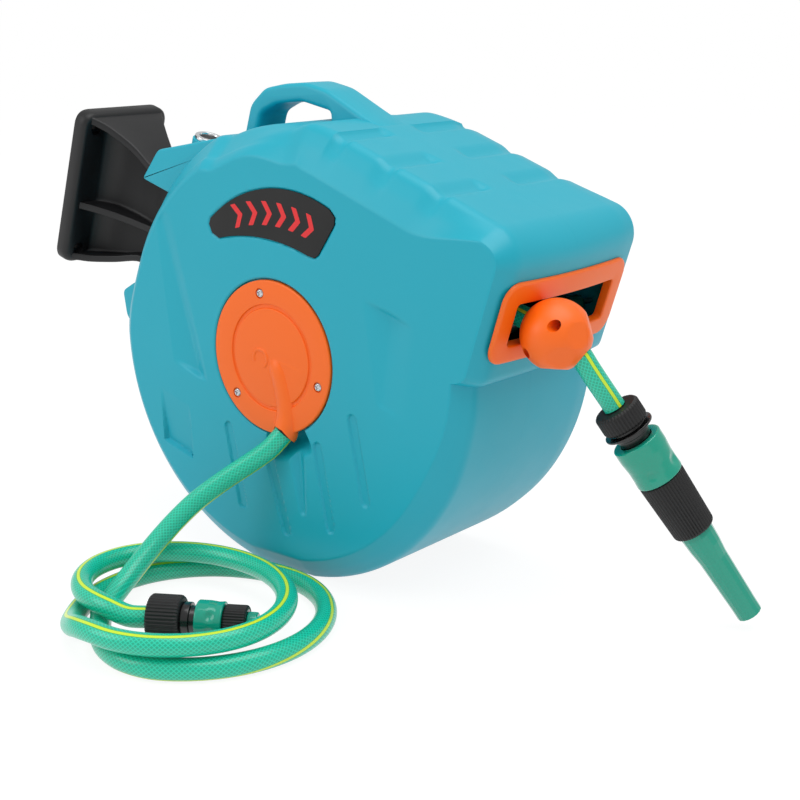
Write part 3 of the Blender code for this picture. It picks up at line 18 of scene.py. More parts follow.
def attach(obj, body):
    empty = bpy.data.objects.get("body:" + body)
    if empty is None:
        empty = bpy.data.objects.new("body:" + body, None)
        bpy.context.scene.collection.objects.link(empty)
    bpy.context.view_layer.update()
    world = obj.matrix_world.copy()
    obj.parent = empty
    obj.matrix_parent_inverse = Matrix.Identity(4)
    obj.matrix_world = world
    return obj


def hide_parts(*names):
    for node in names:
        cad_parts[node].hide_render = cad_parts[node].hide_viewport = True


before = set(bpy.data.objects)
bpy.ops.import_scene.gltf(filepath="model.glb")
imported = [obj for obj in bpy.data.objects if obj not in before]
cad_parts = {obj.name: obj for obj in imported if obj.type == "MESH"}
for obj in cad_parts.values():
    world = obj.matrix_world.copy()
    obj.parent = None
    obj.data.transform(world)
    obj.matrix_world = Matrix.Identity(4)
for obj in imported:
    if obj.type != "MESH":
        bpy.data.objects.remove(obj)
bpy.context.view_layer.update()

# %% [markdown]
# ## Two frames of measure
#
# The reel rests nose down on its own hose coil, leaning 17 degrees. Drawing a leaning part is hard,
# so the case is drawn upright about the drum's axle, in a reel frame, and one matrix leans it. The
# hoses hang under gravity, so they are drawn in a level frame about the same axle. Another way is to
# draw everything in world coordinates, but then each size would hide inside a sum.

# %% Units and frames
mm = 0.001
AXLE = Vector((43.2 * mm, 0, 178 * mm))
LEAN = math.radians(17)
LEVEL = Matrix.Translation(AXLE)
REEL = LEVEL @ Matrix.Rotation(LEAN, 4, "Y")
FIT = 0.3 * mm
HALF_GAP = 0.03 * mm


def reel_place(place):
    """A level-frame place in the leaning reel's frame."""
    return REEL.inverted() @ (LEVEL @ place)


def reel_way(way):
    """A level-frame direction in the leaning reel's frame."""
    return (REEL.inverted().to_3x3() @ (LEVEL.to_3x3() @ way)).normalized()


print("the reel leans", round(math.degrees(LEAN)), "degrees about its axle")

# %% [markdown]
# ## The camera
#
# The photograph was taken from the front left and a little above, with a medium-long lens, which
# keeps the case from looking stretched. Its place and aim were worked out from parts whose real
# places are known, and the view stays square to them. A camera can also be aimed with a Track To
# constraint, but a matrix states the view exactly.

# %% Camera
camera_data = bpy.data.cameras.new("product_view")
camera_data.lens = 66.5
camera_data.sensor_width = 36
camera = bpy.data.objects.new("product_view", camera_data)
bpy.context.scene.collection.objects.link(camera)
view_look = Vector((-0.6024, 0.7536, -0.2629)).normalized()
view_right = view_look.cross(Vector((-0.166, 0.2039, 0.9648))).normalized()
view_up = view_right.cross(view_look)
turn = Matrix((view_right, view_up, -view_look)).transposed().to_4x4()
camera.matrix_world = Matrix.Translation((0.8061, -0.8828, 0.4442)) @ turn
bpy.context.scene.camera = camera
bpy.context.scene.view_settings.view_transform = "Standard"
print("camera lens", camera_data.lens, "mm at", [round(v, 3) for v in camera.location])

# %% [markdown]
# ## Tools for materials
#
# Colours are written as sRGB hex values, as a paint chart gives them, and one function turns them to
# the linear light that shaders need. One more adds a node with its settings and links, so that each
# material below reads as a short recipe.

# %% Colour and node helpers


def colour(code):
    """A sRGB hex colour as linear RGBA."""
    parts = [int(code[i:i + 2], 16) / 255 for i in (1, 3, 5)]
    return (*[c / 12.92 if c <= 0.04045 else ((c + 0.055) / 1.055) ** 2.4 for c in parts], 1.0)


def add(tree, kind, inputs=None, **settings):
    """Add a node; an input is given either a value or the socket that feeds it."""
    made = tree.nodes.new(kind)
    for name, value in settings.items():
        setattr(made, name, value)
    for name, value in (inputs or {}).items():
        if isinstance(value, bpy.types.NodeSocket):
            tree.links.new(value, made.inputs[name])
        else:
            made.inputs[name].default_value = value
    return made


def maths(tree, operation, *values):
    """The result of one sum on numbers or sockets."""
    return add(tree, "ShaderNodeMath", dict(enumerate(values)), operation=operation).outputs[0]


def mixed_colour(tree, share, first, second):
    """A mix of two colours, each given as a colour or as the socket that feeds it."""
    mix = add(tree, "ShaderNodeMix", {"Factor": share, "A": first, "B": second}, data_type="RGBA")
    return mix.outputs["Result"]


def material(name):
    """A new material with its Principled shader and its tree."""
    made = bpy.data.materials.new(name)
    made.use_nodes = True
    return made, made.node_tree, made.node_tree.nodes["Principled BSDF"]


# %% [markdown]
# ## Moulded plastics
#
# The case is injection-moulded polypropylene, the covers and bezel are a harder ABS, and the black
# parts are glass-filled nylon. All come from steel moulds with a fine spark-eroded grain, which
# spreads the highlight without hiding it, and thick walls cool unevenly, so the colour clouds by a
# percent or two. The recipe below takes the real grain size. A grain of 0.5 mm is too fine for the
# picture's pixels but still softens the gloss. A large soft noise on the roughness stands for the
# marks of handling.

# %% Plastic recipe


def plastic(name, code, roughness, grain, depth, cloud=0.03, coat=0.0):
    """Moulded plastic with grain (size and depth in metres) and a faint clouding of its colour."""
    made, tree, shader = material(name)
    place = add(tree, "ShaderNodeTexCoord").outputs["Object"]
    soft = add(tree, "ShaderNodeTexNoise", {"Vector": place, "Scale": 1 / (90 * mm), "Detail": 2.0})
    base = colour(code)
    dark = tuple(c * (1 - cloud) for c in base[:3]) + (1.0,)
    light = tuple(min(c * (1 + cloud), 1) for c in base[:3]) + (1.0,)
    tree.links.new(mixed_colour(tree, soft.outputs["Fac"], dark, light), shader.inputs["Base Color"])
    rub = add(tree, "ShaderNodeTexNoise", {"Vector": place, "Scale": 1 / (25 * mm), "Detail": 4.0})
    spread = add(tree, "ShaderNodeMapRange", {"Value": rub.outputs["Fac"], "To Min": roughness - 0.05,
                                              "To Max": roughness + 0.05})
    tree.links.new(spread.outputs["Result"], shader.inputs["Roughness"])
    pits = add(tree, "ShaderNodeTexNoise", {"Vector": place, "Scale": 1 / grain, "Detail": 2.0})
    bump = add(tree, "ShaderNodeBump", {"Height": pits.outputs["Fac"], "Distance": depth, "Strength": 0.6})
    tree.links.new(bump.outputs["Normal"], shader.inputs["Normal"])
    shader.inputs["IOR"].default_value = 1.5
    shader.inputs["Coat Weight"].default_value = coat
    shader.inputs["Coat Roughness"].default_value = 0.2
    return made


TEAL = plastic("grained_teal_polypropylene", "#05A8BE", 0.42, 0.7 * mm, 0.03 * mm)
ORANGE = plastic("grained_orange_abs", "#FF6C06", 0.42, 0.6 * mm, 0.02 * mm, 0.02)
BLACK = plastic("grained_black_nylon", "#0E0E10", 0.48, 0.6 * mm, 0.03 * mm)
BLACK_GRIP = plastic("soft_black_grip_plastic", "#121213", 0.55, 0.5 * mm, 0.02 * mm)
GREEN = plastic("polished_green_abs", "#009C82", 0.16, 4 * mm, 0.01 * mm, 0.02, 0.3)
# Dark green for the rollers, kept darker than the hose, which also paints the shade inside the mouth and the
# drum.
DARK_GREEN_AND_SHADE = plastic("dark_green_acetal_and_painted_shade", "#043A32", 0.4, 1 * mm, 0.01 * mm)
WHITE = plastic("natural_acetal", "#DCDDD6", 0.35, 1 * mm, 0.01 * mm)
print("moulded plastics made")

# %% [markdown]
# ## Metals
#
# The hinge pin is chromed, and the screws are zinc-plated steel, a little duller and blotchier. Both
# are full metals, so their colour sits in the reflection. Springs and pins inside are drawn steel.

# %% Metal recipe


def metal(name, code, roughness, blotch):
    """Plated or drawn metal whose gloss is blotched by the given amount."""
    made, tree, shader = material(name)
    place = add(tree, "ShaderNodeTexCoord").outputs["Object"]
    noise = add(tree, "ShaderNodeTexNoise", {"Vector": place, "Scale": 1 / (6 * mm), "Detail": 3.0})
    spread = add(tree, "ShaderNodeMapRange", {"Value": noise.outputs["Fac"], "To Min": roughness - blotch,
                                              "To Max": roughness + blotch})
    tree.links.new(spread.outputs["Result"], shader.inputs["Roughness"])
    shader.inputs["Base Color"].default_value = colour(code)
    shader.inputs["Metallic"].default_value = 1.0
    return made


CHROME = metal("bright_chrome_plate", "#E6E8EA", 0.1, 0.03)
ZINC = metal("zinc_plated_steel", "#C9CACC", 0.25, 0.06)
STEEL = metal("drawn_spring_steel", "#9A9CA0", 0.32, 0.05)
print("metals made")

# %% [markdown]
# ## Braided hose
#
# Garden hose is soft green PVC with a crossed yarn braid under a clear skin, and one yellow stripe
# along it. Real yarns lie about 2 mm apart. The braid is drawn from the tube's own UV map: U runs once
# round the hose and V counts metres along it, so two families of slanted lines cross at the real
# spacing whatever way the hose bends. An image texture could do this too, but a formula stays sharp.

# %% Hose material
HOSE_RADIUS = 8 * mm
YARNS_ROUND = 32
YARN_PITCH = 1.7 * mm
STRIPE_SHARE = 0.05

HOSE, tree, shader = material("braided_green_pvc")
layout = add(tree, "ShaderNodeUVMap", uv_map="hose")
split = add(tree, "ShaderNodeSeparateXYZ", {"Vector": layout.outputs["UV"]})
round_turns = maths(tree, "MULTIPLY", split.outputs["X"], float(YARNS_ROUND))
along = maths(tree, "MULTIPLY", split.outputs["Y"], 1 / YARN_PITCH)
yarns = []
for direction in ("ADD", "SUBTRACT"):
    wave = maths(tree, "PINGPONG", maths(tree, direction, along, round_turns), 1.0)
    yarn = add(tree, "ShaderNodeMapRange", {"Value": wave, "From Min": 0.62, "From Max": 0.8},
               interpolation_type="SMOOTHSTEP")
    yarns.append(yarn.outputs["Result"])
braid = maths(tree, "MAXIMUM", *yarns)
ground = mixed_colour(tree, braid, colour("#00B08B"), colour("#18D6B2"))
off = maths(tree, "ABSOLUTE", maths(tree, "SUBTRACT", split.outputs["X"], 0.5))
rim = maths(tree, "LESS_THAN", off, STRIPE_SHARE * 0.66)
core = maths(tree, "LESS_THAN", off, STRIPE_SHARE * 0.46)
edged = mixed_colour(tree, rim, ground, colour("#2FAE57"))
striped = mixed_colour(tree, core, edged, colour("#D2F02E"))
tree.links.new(striped, shader.inputs["Base Color"])
bump = add(tree, "ShaderNodeBump", {"Height": braid, "Distance": 0.15 * mm, "Strength": 0.5})
tree.links.new(bump.outputs["Normal"], shader.inputs["Normal"])
shader.inputs["Roughness"].default_value = 0.3
shader.inputs["IOR"].default_value = 1.53
shader.inputs["Coat Weight"].default_value = 0.25
shader.inputs["Coat Roughness"].default_value = 0.12
yarn_gap = 2 * math.pi * HOSE_RADIUS / YARNS_ROUND
print("braid:", YARNS_ROUND, "yarns each way,", round(yarn_gap / mm, 1), "mm apart")

# %% [markdown]
# ## Hose routes
#
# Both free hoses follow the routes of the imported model: a smooth curve through a few places, evenly
# resampled, with straight ends where a fitting grips them. The coil is a formula of turns whose
# centre, radius and height slide from one turn to the next.

# %% Routes


def smooth(value, low, high):
    """A soft step: 0 up to low, 1 from high on."""
    share = np.clip((np.asarray(value, float) - low) / (high - low), 0.0, 1.0)
    return share * share * (3 - 2 * share)


def refined(points, parts=4):
    """More points on the smooth curve through the given ones."""
    given = [2 * points[0] - points[1], *points, 2 * points[-1] - points[-2]]
    fine = []
    for i in range(1, len(given) - 2):
        p0, p1, p2, p3 = given[i - 1:i + 3]
        for k in range(parts):
            t = k / parts
            fine.append(0.5 * (2 * p1 + (p2 - p0) * t + (2 * p0 - 5 * p1 + 4 * p2 - p3) * t ** 2
                               + (3 * p1 - p0 - 3 * p2 + p3) * t ** 3))
    return fine + [points[-1]]


def smooth_route(points, spacing):
    """Points at an even spacing on a smooth curve through the given points."""
    fine = refined([Vector(p) for p in points], 12)
    lengths = np.cumsum([0.0] + [(b - a).length for a, b in zip(fine, fine[1:])])
    count = max(int(round(lengths[-1] / spacing)), 2)
    wanted = np.linspace(0.0, lengths[-1], count + 1)
    table = np.array([tuple(p) for p in fine])
    return [Vector([np.interp(w, lengths, table[:, k]) for k in range(3)]) for w in wanted]


def squared_route(points, spacing, first=None, last=None, straight=8 * mm):
    """A smooth route whose ends run straight along the given headings."""
    inner = [Vector(p) for p in points]
    start, finish = inner[0], inner[-1]
    near = straight + 0.4 * spacing
    if first:
        inner.insert(1, start + straight * first)
    if last:
        inner.insert(-1, finish - straight * last)
    route = smooth_route(inner, spacing)
    if first:
        route = [start, inner[1]] + [p for p in route if (p - start).length > near]
    if last:
        route = [p for p in route if (p - finish).length > near] + [inner[-2], finish]
    return route


FLOOR_DROP = AXLE.z
COIL_TURNS, COIL_START_ANGLE, COIL_POINTS_A_TURN = 2.239, math.radians(222), 24
FIRST_TURN = (22 * mm, -191 * mm, 93 * mm)
SECOND_TURN = (24 * mm, -206 * mm, 80 * mm)
TAIL_TURN = (-17 * mm, -189 * mm, 60 * mm)
START_RADIUS = 71 * mm
LOW_LAYER, HIGH_LAYER, TAIL_LAYER = 8.3 * mm, 25.7 * mm, 20.5 * mm


def coil_place(turn):
    """Centre line of the coil at a count of turns, with the centre of that turn."""
    second, tail = smooth(turn, 0.80, 1.14), smooth(turn, 1.32, 1.96)
    x, y, radius = FIRST_TURN
    radius -= (FIRST_TURN[2] - START_RADIUS) * (1 - smooth(turn, 0.02, 0.22))
    x += (SECOND_TURN[0] - x) * second
    y += (SECOND_TURN[1] - y) * second
    radius += (SECOND_TURN[2] - radius) * second
    x += (TAIL_TURN[0] - SECOND_TURN[0]) * tail
    y += (TAIL_TURN[1] - SECOND_TURN[1]) * tail
    radius += (TAIL_TURN[2] - radius) * tail
    height = LOW_LAYER + (HIGH_LAYER - LOW_LAYER) * smooth(turn, 0.98, 1.12)
    height -= (HIGH_LAYER - TAIL_LAYER) * smooth(turn, 2.135, 2.195)
    angle = COIL_START_ANGLE + 2 * math.pi * turn
    centre = Vector((x, y, height - FLOOR_DROP))
    return centre + Vector((math.cos(angle), math.sin(angle), 0)) * float(radius), centre


steps = int(round(COIL_TURNS * COIL_POINTS_A_TURN))
coil = [coil_place(COIL_TURNS * i / steps)[0] for i in range(steps + 1)]
coil_heading = (coil[1] - coil[0]).normalized()
inlet_places = [Vector(p) * mm for p in (
    (10.3, -84.5, -58.6), (4, -91.5, -69.3), (-7, -102.5, -80.5), (-23.5, -118, -95.5), (-38, -136, -112),
    (-46, -156, -129), (-49, -177, -145), (-48, -198, -158), (-42.5, -218.5, -166.3))]
spout_heading = (inlet_places[1] - inlet_places[0]).normalized()
inlet_run = squared_route(inlet_places + [coil[0] - FIT * coil_heading], 2.2 * HOSE_RADIUS, spout_heading,
                          coil_heading)
outlet_places = [Vector(p) * mm for p in (
    (165, -40, 61.5), (182, -40, 56.3), (197.5, -40, 51.6), (212, -40, 47.2), (226.7, -39.8, 42.4),
    (241.7, -35.3, 31.6), (248.7, -27.5, 16.3), (259.5, -12.8, -9.6))]
BALL_CENTRE = outlet_places[4]
nozzle_start = outlet_places[-1].copy()
nozzle_heading = (Vector((338.9, 56, -165.9)) * mm - nozzle_start).normalized()
mouth_heading = (outlet_places[1] - outlet_places[0]).normalized()
outlet_run = squared_route(outlet_places[:-1] + [nozzle_start - FIT * nozzle_heading], 1.5 * HOSE_RADIUS,
                           mouth_heading, nozzle_heading)

# %% [markdown]
# ## Hose tubes
#
# A bevelled curve would make a round tube, but its UV map can't hold the stripe where it really lies.
# So the tube is a mesh: rings of points round the route, each ring turned so that U = 0.5 faces the
# side that carries the stripe. The route is refined between its points, so that no bend shows facets.

# %% Tube maker


def finish_piece(name, mesh, look, body, replaces=(), angle=35):
    """Turn a world-space mesh into a named piece of the object."""
    obj = bpy.data.objects.new(name, mesh)
    bpy.context.scene.collection.objects.link(obj)
    mesh.materials.clear()
    mesh.materials.append(look)
    mesh.shade_smooth()
    mesh.set_sharp_from_angle(angle=math.radians(angle))
    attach(obj, body)
    if replaces:
        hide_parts(*replaces)
    return obj


def hose_tube(name, line, stripe_sides, body, replaces, sides=32):
    """A hose along a line (world space) whose stripe faces the given side at each point."""
    count = len(line)
    rows = []
    travelled = [0.0]
    for a, b in zip(line, line[1:]):
        travelled.append(travelled[-1] + (b - a).length)
    for i, (place, side) in enumerate(zip(line, stripe_sides)):
        heading = (line[min(i + 1, count - 1)] - line[max(i - 1, 0)]).normalized()
        front = (side - side.dot(heading) * heading).normalized()
        across = heading.cross(front)
        ring = []
        for k in range(sides):
            turn = 2 * math.pi * (k / sides - 0.5)
            ring.append(place + HOSE_RADIUS * (math.cos(turn) * front + math.sin(turn) * across))
        rows.append(ring)
    verts = [p for ring in rows for p in ring] + [line[0], line[-1]]
    faces, layout = [], []
    for i in range(count - 1):
        for k in range(sides):
            n = (k + 1) % sides
            faces.append((i * sides + k, i * sides + n, (i + 1) * sides + n, (i + 1) * sides + k))
            for u, row in ((k, i), (k + 1, i), (k + 1, i + 1), (k, i + 1)):
                layout.append((u / sides, travelled[row]))
    for k in range(sides):
        n = (k + 1) % sides
        faces.append((n, k, count * sides))
        faces.append(((count - 1) * sides + k, (count - 1) * sides + n, count * sides + 1))
        layout += [(0.25, 0.0)] * 6
    mesh = bpy.data.meshes.new(name)
    mesh.from_pydata(verts, [], faces)
    uv = mesh.uv_layers.new(name="hose")
    uv.data.foreach_set("uv", [value for pair in layout for value in pair])
    return finish_piece(name, mesh, HOSE, body, replaces, 60)


# %% Stripe sides of the inlet hose
toward_camera = -view_look
# Turns of the coil and the stripe's angle above the outer side there, in degrees
STRIPE_TURNS = (0.0, 0.12, 0.3, 0.5, 0.75, 1.0, 1.25, 1.5, 1.75, 2.0, 2.24)
STRIPE_ANGLES = (-20, -48, -52, 60, 125, 62, 70, 88, 95, 75, 70)
fine_inlet = refined(inlet_run, 5)[:-1]
fine_turns = np.linspace(0, COIL_TURNS, steps * 5 + 1)
fine_coil = refined(coil, 5)
run_side = (0.75 * view_right - 0.55 * view_up + 0.25 * toward_camera).normalized()


def coil_side(turn):
    place, centre = coil_place(turn)
    outward = (place - centre).normalized()
    angle = math.radians(np.interp(turn, STRIPE_TURNS, STRIPE_ANGLES))
    return math.cos(angle) * outward + math.sin(angle) * Vector((0, 0, 1))


sides = []
first_side = coil_side(0.0)
for i in range(len(fine_inlet)):
    share = float(smooth(i / len(fine_inlet), 0.6, 1.0))
    sides.append(run_side.lerp(first_side, share))
sides += [coil_side(t) for t in fine_turns]
inlet_world = [LEVEL @ p for p in fine_inlet + fine_coil]
inlet_hose = hose_tube("inlet_hose_braided", inlet_world, sides, "case", ("inlet_hose", "inlet_coil"))
outlet_world = [LEVEL @ p for p in refined(outlet_run, 5)]
outlet_side = (toward_camera + 0.35 * view_right + 0.1 * view_up).normalized()
outlet_hose = hose_tube("outlet_hose_braided", outlet_world, [outlet_side] * len(outlet_world), "case",
                        ("outlet_hose",))
print("hose tubes:", len(inlet_hose.data.polygons) + len(outlet_hose.data.polygons), "faces")

# %% [markdown]
# ## Floor and light
#
# A product picture stands on a white sweep under soft boxes. The floor is matt and pale; camera and
# glossy rays also see some white from it, so it merges with the world, which camera rays see as white,
# and keeps the object's soft shadow. One broad lamp above and one from the left shape the forms, and
# the world fills the rest, at a level where a colour renders about as it is written.

# %% Floor, world and lamps
mesh = bpy.data.meshes.new("studio_floor")
reach = 30.0
mesh.from_pydata([(-reach, -reach, 0), (reach, -reach, 0), (reach, reach, 0), (-reach, reach, 0)], [],
                 [(0, 1, 2, 3)])
floor = bpy.data.objects.new("studio_floor", mesh)
floor.location.z = -0.2 * mm
bpy.context.scene.collection.objects.link(floor)
sweep = bpy.data.materials.new("matt_white_paper_sweep")
sweep.use_nodes = True
tree = sweep.node_tree
tree.nodes.clear()
rays = add(tree, "ShaderNodeLightPath")
seen = maths(tree, "MAXIMUM", rays.outputs["Is Camera Ray"], rays.outputs["Is Glossy Ray"])
share = maths(tree, "MULTIPLY", seen, 0.82)
matt = add(tree, "ShaderNodeBsdfDiffuse", {"Color": (0.88, 0.88, 0.88, 1)})
glow = add(tree, "ShaderNodeEmission", {"Color": (1, 1, 1, 1), "Strength": 1.1})
mixed = add(tree, "ShaderNodeMixShader", {0: share, 1: matt.outputs[0], 2: glow.outputs[0]})
add(tree, "ShaderNodeOutputMaterial", {"Surface": mixed.outputs[0]})
mesh.materials.append(sweep)

world = bpy.data.worlds.new("white_studio")
bpy.context.scene.world = world
world.use_nodes = True
tree = world.node_tree
tree.nodes.clear()
rays = add(tree, "ShaderNodeLightPath")
fill = add(tree, "ShaderNodeBackground", {"Color": (1, 1, 1, 1), "Strength": 0.62})
white = add(tree, "ShaderNodeBackground", {"Color": (1, 1, 1, 1), "Strength": 1.0})
chosen = add(tree, "ShaderNodeMixShader", {0: rays.outputs["Is Camera Ray"], 1: fill.outputs[0],
                                           2: white.outputs[0]})
add(tree, "ShaderNodeOutputWorld", {"Surface": chosen.outputs[0]})


def lamp(name, place, aim, size, power):
    data = bpy.data.lights.new(name, "AREA")
    data.shape = "RECTANGLE"
    data.size, data.size_y = size
    data.energy = power
    made = bpy.data.objects.new(name, data)
    made.location = place
    made.rotation_euler = (Vector(aim) - Vector(place)).to_track_quat("-Z", "Y").to_euler()
    bpy.context.scene.collection.objects.link(made)


lamp("top_softbox", (0.5, -0.1, 1.7), (0.0, 0.0, 0.2), (1.4, 1.4), 15)
lamp("left_softbox", (-0.9, -1.5, 1.1), (0.0, 0.0, 0.15), (0.9, 1.2), 7.5)
print("floor, world and two soft boxes set")

# %% [markdown]
# ## The case outline
#
# Seen from the side the case is a round drum housing that runs forward into a squared nose over the
# mouth, with a dip under the handle and a channel at the back for the bracket. It could be drawn as
# a subdivision cage, but here it is a formula of columns round the drum, each with its place and how
# far its shoulder slopes in, because every feature then sits at a stated angle or distance.

# %% Case outline
CASE_RADIUS, HALF_WIDTH, WALL = 180 * mm, 86 * mm, 3.2 * mm
FRONT_X, FRONT_BOW, SHELF_Z = 177 * mm, 4.5 * mm, 67 * mm
NOSE_RADIUS, TOP_SLOPE = 24 * mm, 0.0577
NOSE_X = FRONT_X - NOSE_RADIUS
top_line = lambda x: CASE_RADIUS - TOP_SLOPE * x
NOSE_Z = top_line(NOSE_X) - NOSE_RADIUS / math.cos(math.atan(TOP_SLOPE))
SIDE_INSET, TOP_INSET, NOSE_INSET, FRONT_INSET, SHELF_INSET = (v * mm for v in (19, 31, 8, 6, 10))
REAR_INSET, HANDLE_DIP, FAR_SHARE = 25 * mm, 5.5 * mm, 0.12
FOOT_ANGLE = 270 + math.degrees(LEAN)
FOOT_HALF_ANGLE = math.degrees(math.acos(FLOOR_DROP / CASE_RADIUS))
SHELF_ANGLE = 378
CHANNEL_FIRST, CHANNEL_LAST, CHANNEL_DEPTH, CHANNEL_HALF_WIDTH = 155, 200, 12 * mm, 50 * mm


def top_inset(share):
    """Inset of the top's shoulder, from the middle (0) to the nose (1)."""
    return NOSE_INSET + (TOP_INSET - NOSE_INSET) * (1 - smooth(share, 0.6, 1.1))


def outline_columns(spacing):
    """The outline as rows of (x, z, inset, bow share, channel share, top share, slump)."""
    columns = []
    count = int(math.radians(SHELF_ANGLE - 90) * CASE_RADIUS / spacing)
    for angle in np.linspace(90, SHELF_ANGLE, count):
        radius = CASE_RADIUS - HANDLE_DIP * smooth(angle, 97, 104) * (1 - smooth(angle, 128, 134))
        offset = math.radians(angle - FOOT_ANGLE)
        if abs(angle - FOOT_ANGLE) < FOOT_HALF_ANGLE:
            radius = FLOOR_DROP / math.cos(offset)
        inset = SIDE_INSET + (TOP_INSET - SIDE_INSET) * (1 - smooth(angle, 90, 122))
        inset += (SHELF_INSET - SIDE_INSET) * smooth(angle, 345, SHELF_ANGLE)
        slump = smooth(angle, 97, 121) * (1 - smooth(angle, 176, 200))
        inset += (REAR_INSET - SIDE_INSET) * smooth(angle, 110, 130) * (1 - smooth(angle, 176, 200))
        channel = smooth(angle, CHANNEL_FIRST - 0.8, CHANNEL_FIRST + 0.8)
        channel *= 1 - smooth(angle, CHANNEL_LAST - 0.8, CHANNEL_LAST + 0.8)
        turn = math.radians(angle)
        columns.append((radius * math.cos(turn), radius * math.sin(turn), inset, 0.0, channel, 0.0, slump))
    last_x, last_z = columns[-1][:2]
    for share in np.linspace(0, 1, 8)[1:-1]:
        x = last_x + (FRONT_X - last_x) * share + 2 * mm * math.sin(math.pi * share)
        z = last_z + (SHELF_Z - last_z) * share - 1.5 * mm * math.sin(math.pi * share)
        inset = SHELF_INSET + (FRONT_INSET - SHELF_INSET) * share
        columns.append((x, z, inset, float(smooth(share, 0, 1)), 0.0, 0.0, 0.0))
    count = int((NOSE_Z - SHELF_Z) / spacing)
    for z in np.linspace(SHELF_Z, NOSE_Z, count):
        columns.append((FRONT_X, z, FRONT_INSET, 1.0, 0.0, 0.0, 0.0))
    end = math.radians(90) - math.atan(TOP_SLOPE)
    count = int(end * NOSE_RADIUS / spacing * 1.3)
    for share in np.linspace(0, 1, count + 1)[1:]:
        x = NOSE_X + NOSE_RADIUS * math.cos(end * share)
        z = NOSE_Z + NOSE_RADIUS * math.sin(end * share)
        inset = FRONT_INSET + (top_inset(1.0) - FRONT_INSET) * smooth(share, 0, 1)
        columns.append((x, z, inset, 1.0 - float(smooth(share, 0, 1)), 0.0, 0.0, 0.0))
    reach = columns[-1][0]
    count = int(reach / spacing)
    for share in np.linspace(1, 0, count + 1)[1:-1]:
        x = reach * share
        top = float(1 - smooth(x, 138 * mm, 152 * mm))
        columns.append((x, top_line(x), top_inset(share), 0.0, 0.0, top, 0.0))
    return np.array(columns)


columns = outline_columns(1.9 * mm)
print("case outline:", len(columns), "columns")

# %% [markdown]
# ## Features pressed into the case
#
# The flat side carries shallow forms: the badge seat, four slots, the trough where the hose leaves,
# two long facets and a dished patch. The top has three soft troughs from each edge towards its
# middle. Each could be cut with a Boolean, which leaves hard edges that a mould never has. Here they
# are depths that a formula gives for any place on the side, with the soft edges of a moulding.

# %% Depth formulas
BADGE_OUTER, BADGE_INNER, BADGE_DEPTH = (5.6, 22.3, 110.4), (6.6, -70.8, 161), 1.2 * mm
SLOTS = (((-28, -75), (3, -130)), ((20, -80), (52, -128)), ((62, -47), (92, -103)), ((87, -10), (117, -65)))
SLOT_HALF_WIDTH, SLOT_DEPTH = 4.2 * mm, 1.7 * mm
TROUGHS, TROUGH_DEPTH = (7, 54, 101), 2.8 * mm
WEDGES = ((66, -52, (-152, -98), (-147, -72), 4.4, 16), (83, 10, (70, 106), (95, 110), 4.0, 26))
SEAT_RADIUS = 61.5 * mm
RELIEF_ANGLE, RELIEF_DEPTH = 300, 14.4 * mm


def arc(centre, radius, first, last, steps):
    angles = [math.radians(first + (last - first) * i / steps) for i in range(steps + 1)]
    return [(centre[0] + radius * math.cos(a), centre[1] + radius * math.sin(a)) for a in angles]


def badge_outline(shrink):
    """The curved badge in the reel frame, in metres."""
    ring = arc(BADGE_OUTER[:2], BADGE_OUTER[2] - shrink, 147.5, 81, 40)
    ring += [(29.4 - shrink, 127.5), (30.6 - shrink, 122), (22.6 - shrink, 95), (19.5 - shrink, 91.2)]
    ring += arc(BADGE_INNER[:2], BADGE_INNER[2] + shrink, 88, 121, 30)
    ring += [(-84.5 + shrink, 68.5), (-89.5 + shrink, 74), (-89.3 + shrink, 79)]
    return [(x * mm, z * mm) for x, z in ring]


def line_distance(x, z, a, b):
    """Distance to a stretch from a to b, and the share of it passed."""
    ax, az, bx, bz = (v * mm for v in (*a, *b))
    dx, dz = bx - ax, bz - az
    t = np.clip(((x - ax) * dx + (z - az) * dz) / (dx * dx + dz * dz), 0, 1)
    return np.hypot(x - ax - t * dx, z - az - t * dz), t


def polygon_distance(x, z, ring):
    """Signed distance to a closed outline, positive inside."""
    best = np.full(x.shape, 1.0)
    inside = np.zeros(x.shape, bool)
    for (ax, az), (bx, bz) in zip(ring, ring[1:] + ring[:1]):
        dx, dz = bx - ax, bz - az
        t = np.clip(((x - ax) * dx + (z - az) * dz) / max(dx * dx + dz * dz, 1e-12), 0, 1)
        best = np.minimum(best, np.hypot(x - ax - t * dx, z - az - t * dz))
        if az != bz:
            inside ^= ((az > z) != (bz > z)) & (x < (bx - ax) * (z - az) / (bz - az) + ax)
    return np.where(inside, best, -best)


def wedge(x, z, high, low, left, right, deep, back):
    """A long triangular facet that sinks from its left edge to its right one, then rises again."""
    share = np.clip((high * mm - z) / ((high - low) * mm), 0, 1)
    left_x = (left[0] + (left[1] - left[0]) * share) * mm
    right_x = (right[0] + (right[1] - right[0]) * share) * mm
    widest = max(right[0] - left[0], right[1] - left[1]) * mm
    width = right_x - left_x
    sunk = np.clip((x - left_x) / width, 0, 1) * (1 - smooth(x - right_x, 0.0, back * mm))
    inside = smooth(high * mm - z, 0.0, 5 * mm) * smooth(z - low * mm, 0.0, 5 * mm)
    return deep * mm * sunk * inside * width / widest


